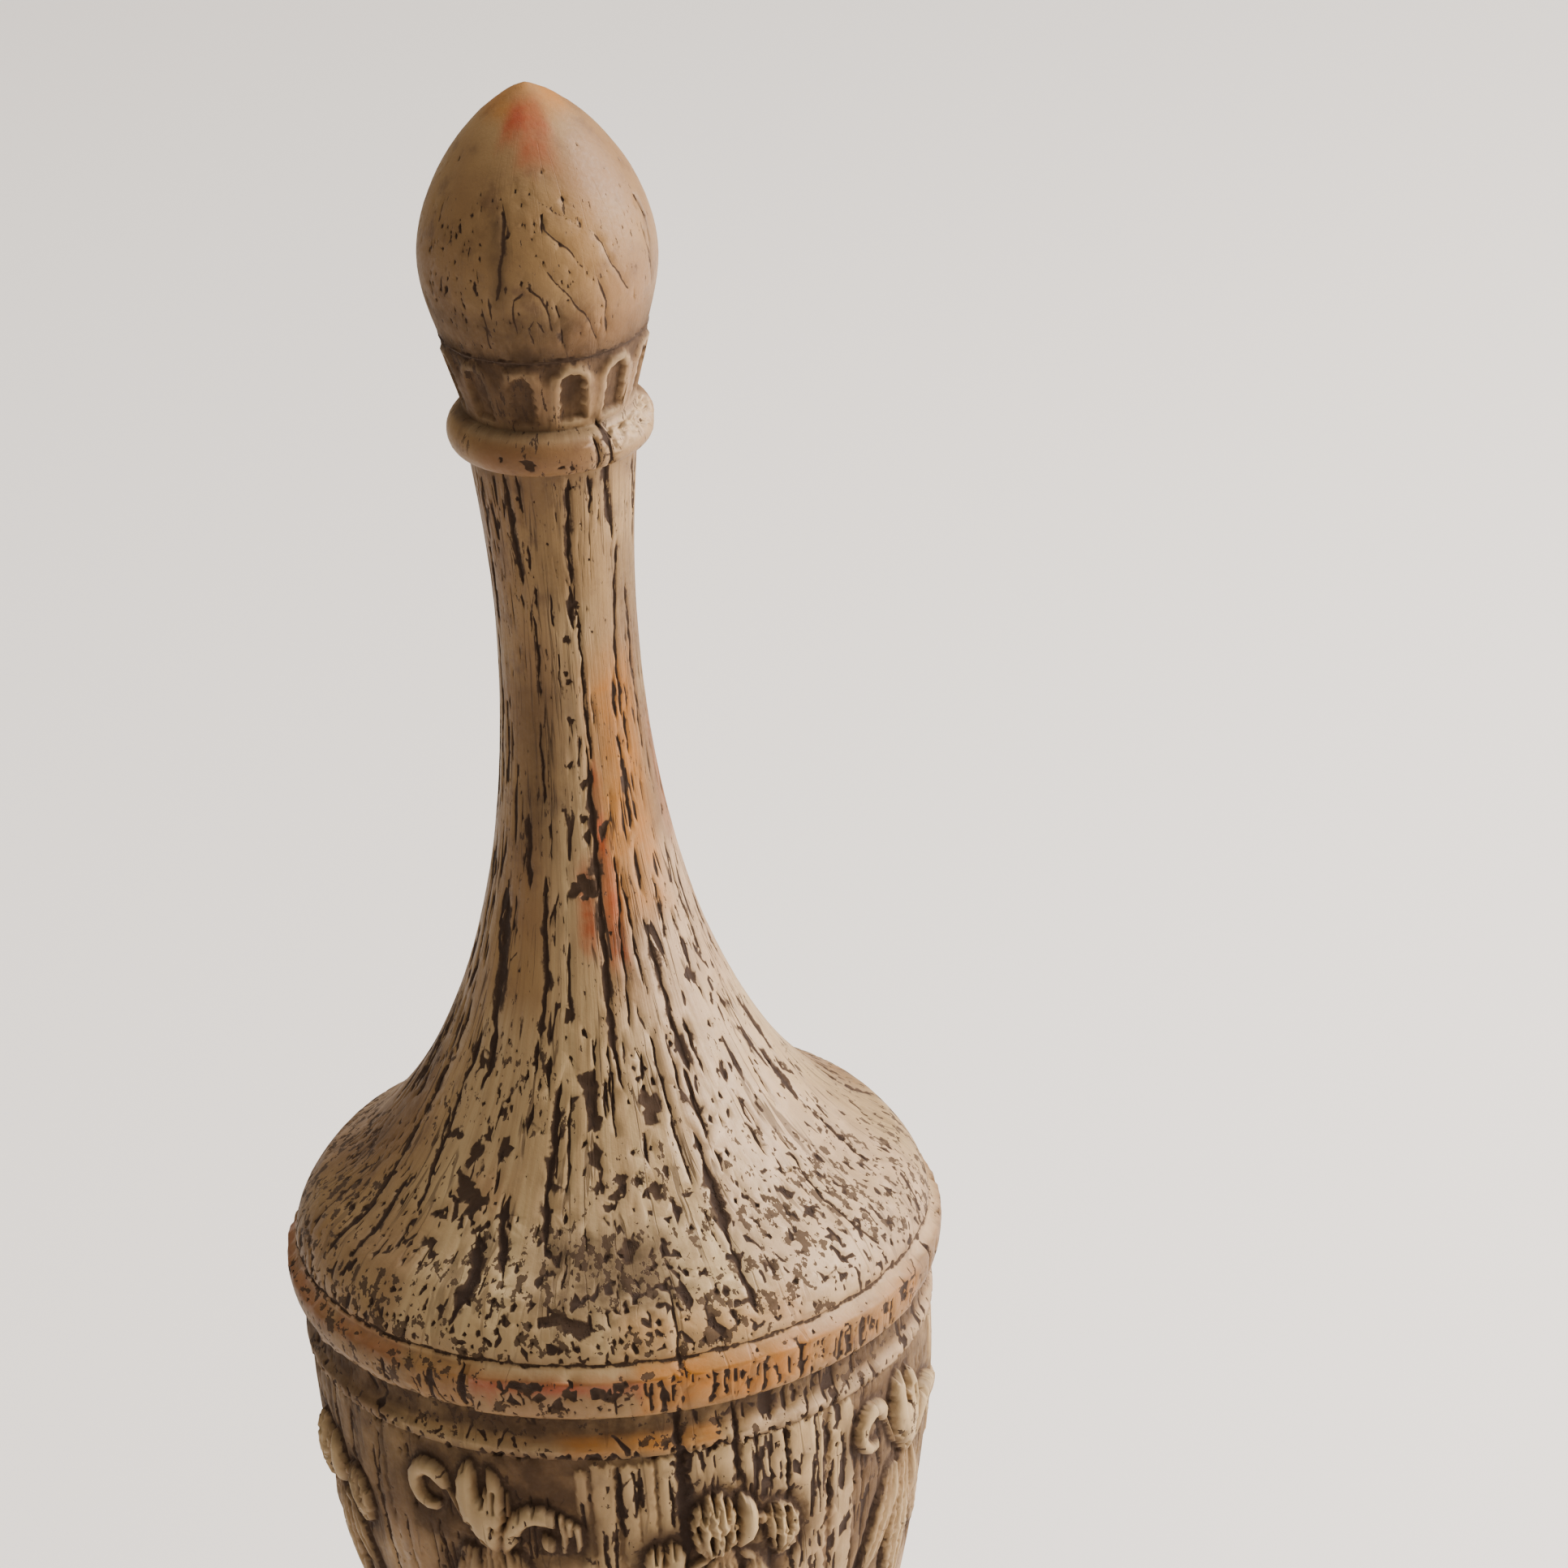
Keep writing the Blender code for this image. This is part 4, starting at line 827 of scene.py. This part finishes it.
deepest = 2.8  # no cut goes deeper
haloReach, wornReach = 3, 5  # in rows and columns
relief = np.maximum(form - cuts, -deepest)
paint["halo"] = np.clip(spread(paint["stain"], haloReach, haloReach) * 1.2, 0, 1)
paint["worn"] = smooth(0.15, 0.7, relief - spread(relief, wornReach, wornReach))


def calc(tree, operation, first, second=0.0, clamp=False):
    return addNode(tree, "ShaderNodeMath", {0: first, 1: second},
                   operation=operation, use_clamp=clamp).outputs[0]


# Geometry Nodes turn the outline into one closed surface
def startTree(name, inputs):  # a tree, and the outputs of its group input
    tree = bpy.data.node_groups.new(name, "GeometryNodeTree")
    for side in ("INPUT", "OUTPUT"):
        tree.interface.new_socket("Geometry", in_out=side, socket_type="NodeSocketGeometry")
    for label, (kind, value) in {**inputs, "Material": ("Material", None)}.items():
        socket = tree.interface.new_socket(label, in_out="INPUT", socket_type="NodeSocket" + kind)
        if value is not None:
            socket.default_value = value
    return tree, addNode(tree, "NodeGroupInput").outputs


def endTree(tree, given, geometry, **moves):  # moves the points and gives them the material
    steps = {"SetPosition": moves, "RealizeInstances": {}, "SetMaterial": {"Material": given["Material"]}}
    for kind, values in steps.items():
        geometry = addNode(tree, "GeometryNode" + kind, {"Geometry": geometry, **values}).outputs[0]
    addNode(tree, "NodeGroupOutput", {0: geometry})


def turningTree():  # a tube whose rings take their radius and height from the outline's points
    tree, given = startTree("turnedSurface", {"Columns": ("Int", 64), "Rows": ("Int", 64)})
    gaps = calc(tree, "SUBTRACT", given["Rows"], 1.0)
    tube = addNode(tree, "GeometryNodeMeshCylinder", {
        "Vertices": given["Columns"], "Side Segments": gaps, "Radius": 1.0, "Depth": gaps}, fill_type="NGON")
    place = addNode(tree, "GeometryNodeInputPosition").outputs[0]
    parts = addNode(tree, "ShaderNodeSeparateXYZ", {0: place}).outputs
    row = calc(tree, "ROUND", calc(tree, "ADD", parts["Z"], calc(tree, "MULTIPLY", gaps, 0.5)))
    drawn = addNode(tree, "GeometryNodeSampleIndex", {
        "Geometry": given["Geometry"], "Value": place, "Index": row}, data_type="FLOAT_VECTOR", domain="POINT")
    point = addNode(tree, "ShaderNodeSeparateXYZ", {0: drawn.outputs[0]}).outputs
    x, y = (calc(tree, "MULTIPLY", parts[axis], point["X"]) for axis in "XY")
    joined = addNode(tree, "ShaderNodeCombineXYZ", {0: x, 1: y, 2: point["Z"]})
    # The row is kept before the points move, so that the carving can be laid on row by row
    kept = addNode(tree, "GeometryNodeStoreNamedAttribute", {
        "Geometry": tube.outputs["Mesh"], "Name": "row", "Value": row}, data_type="INT", domain="POINT")
    endTree(tree, given, kept.outputs[0], Position=joined.outputs[0])
    return tree


def grainTree():  # fine unevenness of the cast skin, pushed out along the surface
    tree, given = startTree("castGrain", {
        "Grain Size": ("Float", 0.003), "Grain Depth": ("Float", 0.0002), "Swell Size": ("Float", 0.02),
        "Swell Depth": ("Float", 0.0004), "Seed": ("Float", 7.0)})
    along = addNode(tree, "GeometryNodeInputNamedAttribute", {"Name": "grain"}, data_type="FLOAT_VECTOR")
    total = 0.0
    for name, stretch in (("Grain", 0.18), ("Swell", 0.6)):
        drawn = addNode(tree, "ShaderNodeVectorMath", {0: along.outputs[0], 1: (1, 1, stretch)},
                        operation="MULTIPLY")
        noise = addNode(tree, "ShaderNodeTexNoise", {
            "Vector": drawn.outputs[0], "Scale": calc(tree, "DIVIDE", 1.0, given[name + " Size"]),
            "Detail": 2.0, "W": given["Seed"]}, noise_dimensions="4D")
        centred = calc(tree, "SUBTRACT", noise.outputs[0], 0.5)
        total = calc(tree, "ADD", total, calc(tree, "MULTIPLY", centred, given[name + " Depth"]))
    normal = addNode(tree, "GeometryNodeInputNormal")
    push = addNode(tree, "ShaderNodeVectorMath", {0: normal.outputs[0], "Scale": total}, operation="SCALE")
    endTree(tree, given, given["Geometry"], Offset=push.outputs[0])
    return tree


def leavePlain(piece):  # applies the modifiers and leaves a plain mesh
    plain = bpy.data.meshes.new_from_object(piece.evaluated_get(bpy.context.evaluated_depsgraph_get()))
    piece.modifiers.clear()
    old = piece.data
    piece.data = plain
    bpy.data.meshes.remove(old)


def frozen(piece, tree, values):  # applies a tree, whose inputs are given by name
    modifier = piece.modifiers.new(tree.name, "NODES")
    modifier.node_group = tree
    for socket in tree.interface.items_tree:
        if socket.name in values:
            modifier[socket.identifier] = values[socket.name]
    leavePlain(piece)


# Polyester resin, cast in a rubber mould and painted: a tan ground with a satin skin, a dark wash
# left in every hollow, orange and ochre rubbed on in places, and pale dry-brushed high spots
# Painted shade darkens the left side and the hollows under the band, lip and egg; painted highlight and sheen
# lighten the right side and the top edges of band and lip.
resinColours = {
    "tan": "#765735", "tanLight": "#8b6d44", "tanDeep": "#5b4027", "wash": "#2a1b11", "softWashAndShade": "#39281a",
    "rust": "#7e3002", "ochre": "#8f5608", "pale": "#ac936b", "chalkAndSheen": "#b8997a",
}
# Of these, the last six say how strongly each layer covers
resin = {"roughness": 0.45, "unevenness": 0.1, "dullness": 0.4, "ior": 1.36, "lineWidth": 0.02,
         "worn": 0.45, "grimeAndShade": 0.9, "halo": 0.22, "underGrimeAndShade": 0.7, "pits": 0.9, "lines": 0.75}
# Noise patterns: size, detail and roughness, and how far each is drawn out along the grain, if it is
patterns = {"streaks": (1.7, 3, 0.6, 0.04), "patches": (38.0, 3, 0.5, None), "tones": (7.0, 4, 0.6, None),
            "speckle": (0.9, 2, 0.5, None), "pits": (1.5, 3, 0.6, 0.5), "lines": (4.2, 2, 0.5, 0.07),
            "stretches": (5.0, 2, 0.5, 0.25)}


def resinMaterial():
    material = bpy.data.materials.new("paintedPolyesterResin")
    material.use_nodes = True
    tree = material.node_tree
    shader = tree.nodes["Principled BSDF"]
    solid = addNode(tree, "ShaderNodeTexCoord").outputs["Object"]
    grain = addNode(tree, "ShaderNodeAttribute", attribute_name="grain").outputs["Vector"]
    masks = {name: addNode(tree, "ShaderNodeAttribute", attribute_name=name).outputs["Fac"] for name in paint}
    tint = {name: linearColour(code) for name, code in resinColours.items()}

    def noise(name):
        size, detail, roughness, stretch = patterns[name]
        vector = solid if stretch is None else addNode(
            tree, "ShaderNodeMapping", {"Vector": grain, "Scale": (1, 1, stretch)}).outputs[0]
        return addNode(tree, "ShaderNodeTexNoise", {
            "Vector": vector, "Scale": 1 / (size * millimetre), "Detail": detail,
            "Roughness": roughness}).outputs[0]

    def ramp(value, low, high, start=0.0, end=1.0):
        return addNode(tree, "ShaderNodeMapRange", {0: value, 1: low, 2: high, 3: start, 4: end},
                       interpolation_type="SMOOTHSTEP").outputs[0]

    def held(operation, first, second):  # the result is held between 0 and 1
        return calc(tree, operation, first, second, True)

    def times(first, second):
        return held("MULTIPLY", first, second)

    def mix(amount, under, over):
        return addNode(tree, "ShaderNodeMix", {0: amount, 6: under, 7: over},
                       data_type="RGBA", clamp_factor=True).outputs[2]

    streaks, patches, tones, speckle = (noise(name) for name in ("streaks", "patches", "tones", "speckle"))
    # Grime mask: dirt and dark wash, and painted shade on the left side, under the band and lip, round the
    # egg's foot and on its top.
    grimeAndShade = times(masks["grimeAndShade"], ramp(tones, 0.25, 0.6, 0.6, 1.0))
    clearOfGrimeAndShade = held("SUBTRACT", 1.0, times(grimeAndShade, resin["underGrimeAndShade"]))
    broken = ramp(tones, 0.3, 0.62, 1.0, 0.6)
    # The finest pits: where a rough noise, drawn out along the grain, is over the level that the mask asks
    level = ramp(masks["pitted"], 0.0, 1.0, 0.72, 0.52)
    hole = ramp(held("SUBTRACT", noise("pits"), level), 0.0, 0.025)
    # The finest splits: thin level lines of a stretched noise, kept in some stretches only
    offLine = calc(tree, "ABSOLUTE", calc(tree, "SUBTRACT", noise("lines"), 0.5))
    kept = times(ramp(noise("stretches"), 0.45, 0.56), masks["streaky"])
    line = times(ramp(offLine, resin["lineWidth"] * 0.4, resin["lineWidth"], 1.0, 0.0), kept)
    fine = held("MAXIMUM", times(hole, resin["pits"]), times(line, resin["lines"]))
    # The stain in the splits and pits, ragged at its edge and darkest in the middle
    dark = ramp(held("ADD", masks["stain"], ramp(speckle, 0.3, 0.7, 0.0, 0.12)), 0.42, 0.66)
    stain = mix(ramp(masks["stain"], 0.75, 0.98), tint["softWashAndShade"], tint["wash"])
    colour = tint["tan"]
    for amount, over in (
            (ramp(patches, 0.35, 0.65), tint["tanLight"]),
            (ramp(tones, 0.52, 0.75, 0.0, 0.7), tint["tanDeep"]),
            (times(ramp(streaks, 0.5, 0.72, 0.0, 0.55), masks["streaky"]), tint["tanDeep"]),
            (times(masks["worn"], resin["worn"]), tint["pale"]),
            (times(grimeAndShade, resin["grimeAndShade"]), tint["softWashAndShade"]),
            (times(masks["halo"], resin["halo"]), tint["softWashAndShade"]),
            # pale: pale paint and pale wood, and painted highlight on the band's and lip's top edges and on the
            # right side.
            (times(times(masks["pale"], clearOfGrimeAndShade), ramp(streaks, 0.3, 0.6, 0.9, 0.55)), tint["pale"]),
            # chalk: painted sheen on the right side, towards the window, and the ring's pale broken edge.
            (times(masks["chalkAndSheen"], ramp(tones, 0.35, 0.6, 1.0, 0.45)), tint["chalkAndSheen"]),
            (times(masks["ochre"], broken), tint["ochre"]),
            (times(masks["rust"], broken), tint["rust"]),
            (fine, tint["softWashAndShade"]),
            (dark, stain)):
        colour = mix(amount, colour, over)
    tree.links.new(colour, shader.inputs["Base Color"])
    skin = ramp(speckle, 0.3, 0.7, resin["roughness"], resin["roughness"] + resin["unevenness"])
    dull = times(held("MAXIMUM", grimeAndShade, held("MAXIMUM", dark, fine)), resin["dullness"])
    tree.links.new(held("ADD", skin, dull), shader.inputs["Roughness"])
    shader.inputs["IOR"].default_value = resin["ior"]
    bump = {}
    for height, depth, strength in ((times(streaks, masks["streaky"]), 0.5, 0.35), (speckle, 0.2, 0.35),
                                    (held("SUBTRACT", 1.0, fine), 0.4, 0.6)):
        bump = {"Normal": addNode(tree, "ShaderNodeBump", {
            **bump, "Height": height, "Distance": depth * millimetre, "Strength": strength}).outputs[0]}
    tree.links.new(bump["Normal"], shader.inputs["Normal"])
    return material


# The casting. The grain has its true size at the grain's radius, and closes to the axis at the tip.
casting = {"grainSize": 2.6, "grainDepth": 0.12, "swellSize": 18.0, "swellDepth": 0.55, "seed": 7.0,
           "triangles": 190000, "grainRadius": 40.0, "closing": 12.0, "flatFoot": 0.4}


def pointPlaces(mesh):
    place = np.empty(len(mesh.vertices) * 3, np.float32)
    mesh.vertices.foreach_get("co", place)
    return place.reshape(-1, 3)


def movePoints(mesh, place):
    mesh.vertices.foreach_set("co", place.astype(np.float32).ravel())


def storeOnPoints(mesh, name, kind, key, values):
    made = mesh.attributes.new(name, kind, "POINT")
    made.data.foreach_set(key, values.astype(np.float32).ravel())


def carveRows(mesh):  # lays the relief and the paint on the turned surface, row by row
    place = pointPlaces(mesh)
    row = np.empty(len(place), np.int32)
    mesh.attributes["row"].data.foreach_get("value", row)
    column = np.rint(np.degrees(np.arctan2(place[:, 0], -place[:, 1])) * columns / 360).astype(int) % columns
    lift = relief[row, column]
    radius = rowRadius[row] + normalOut[row] * lift
    height = np.maximum(rowHeight[row] + normalUp[row] * lift, 0)
    turn = np.radians(columnAngle[column])
    movePoints(mesh, np.stack([radius * np.sin(turn), -radius * np.cos(turn), height], 1) * millimetre)
    mesh.attributes.remove(mesh.attributes["row"])
    for name, field in paint.items():
        storeOnPoints(mesh, name, "FLOAT", "value", field[row, column])
    # Grain runs along the outline and fans out with the radius, as the splits do
    around = casting["grainRadius"] * smooth(0, casting["closing"], rowRadius[row])
    grain = np.stack([np.sin(turn) * around, -np.cos(turn) * around, rowRun[row]], 1)
    storeOnPoints(mesh, "grain", "FLOAT_VECTOR", "vector", grain * millimetre)
    mesh.update()
    print("turned surface carved,", len(mesh.polygons), "faces")


def makeCasting():
    material = resinMaterial()
    outline = bpy.data.meshes.new("urnCasting")
    points = [(r * millimetre, 0, z * millimetre) for r, z in zip(rowRadius, rowHeight)]
    outline.from_pydata(points, [(i, i + 1) for i in range(rows - 1)], [])
    piece = bpy.data.objects.new("urnCasting", outline)
    bpy.context.scene.collection.objects.link(piece)
    frozen(piece, turningTree(), {"Columns": columns, "Rows": rows, "Material": material})
    carveRows(piece.data)
    sizes = {f"{part} {what}": casting[part.lower() + what] * millimetre
             for part in ("Grain", "Swell") for what in ("Size", "Depth")}
    frozen(piece, grainTree(), {**sizes, "Seed": casting["seed"], "Material": material})
    place = pointPlaces(piece.data)
    place[place[:, 2] < casting["flatFoot"] * millimetre, 2] = 0  # the underside stays flat on the floor
    movePoints(piece.data, place)
    thin = piece.modifiers.new("thin", "DECIMATE")
    thin.ratio = casting["triangles"] / (2 * len(piece.data.polygons))
    thin.use_collapse_triangulate = True
    leavePlain(piece)
    piece.data.shade_smooth()
    print("casting thinned to", len(piece.data.polygons), "triangles")
    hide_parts("urn_casting")
    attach(piece, "root")


makeCasting()


# Plain pale floor, its side in metres
floorSizes = {"side": 8.0, "colour": "#f1ebe6", "roughness": 0.85}


def addFloor():
    half = floorSizes["side"] / 2
    mesh = bpy.data.meshes.new("floor")
    corners = [(-half, -half, 0), (half, -half, 0), (half, half, 0), (-half, half, 0)]
    mesh.from_pydata(corners, [], [(0, 1, 2, 3)])
    floor = bpy.data.objects.new("floor", mesh)
    bpy.context.scene.collection.objects.link(floor)
    material = bpy.data.materials.new("mattePaintedFloor")
    material.use_nodes = True
    shader = material.node_tree.nodes["Principled BSDF"]
    shader.inputs["Base Color"].default_value = linearColour(floorSizes["colour"])
    shader.inputs["Roughness"].default_value = floorSizes["roughness"]
    mesh.materials.append(material)


# Soft light: a tall window on the right, a pale ceiling and a pale room. Places and sizes are metres.
lights = {
    "window": {"at": (2.0, 0.1, 1.15), "size": (1.5, 1.7), "power": 162.0, "colour": "#fcf5ef"},
    "ceiling": {"at": (0.7, 0.3, 2.7), "size": (4.2, 4.2), "power": 134.0, "colour": "#fffcf6"},
}
room = {"colour": "#efe8e0", "strength": 0.34}


def addLights():
    for name, light in lights.items():
        data = bpy.data.lights.new(name, "AREA")
        data.shape = "RECTANGLE"
        data.size, data.size_y = light["size"]
        data.energy = light["power"]
        data.color = linearColour(light["colour"])[:3]
        lamp = bpy.data.objects.new(name, data)
        lamp.location = light["at"]
        aim = Vector((0, 0, rimHeight * millimetre)) - Vector(light["at"])
        lamp.rotation_euler = aim.to_track_quat("-Z", "Y").to_euler()
        bpy.context.scene.collection.objects.link(lamp)
    world = bpy.data.worlds.new("paleRoom")
    bpy.context.scene.world = world
    world.use_nodes = True
    background = world.node_tree.nodes["Background"]
    background.inputs["Color"].default_value = linearColour(room["colour"])
    background.inputs["Strength"].default_value = room["strength"]


addFloor()
addLights()
print("floor and lights set")
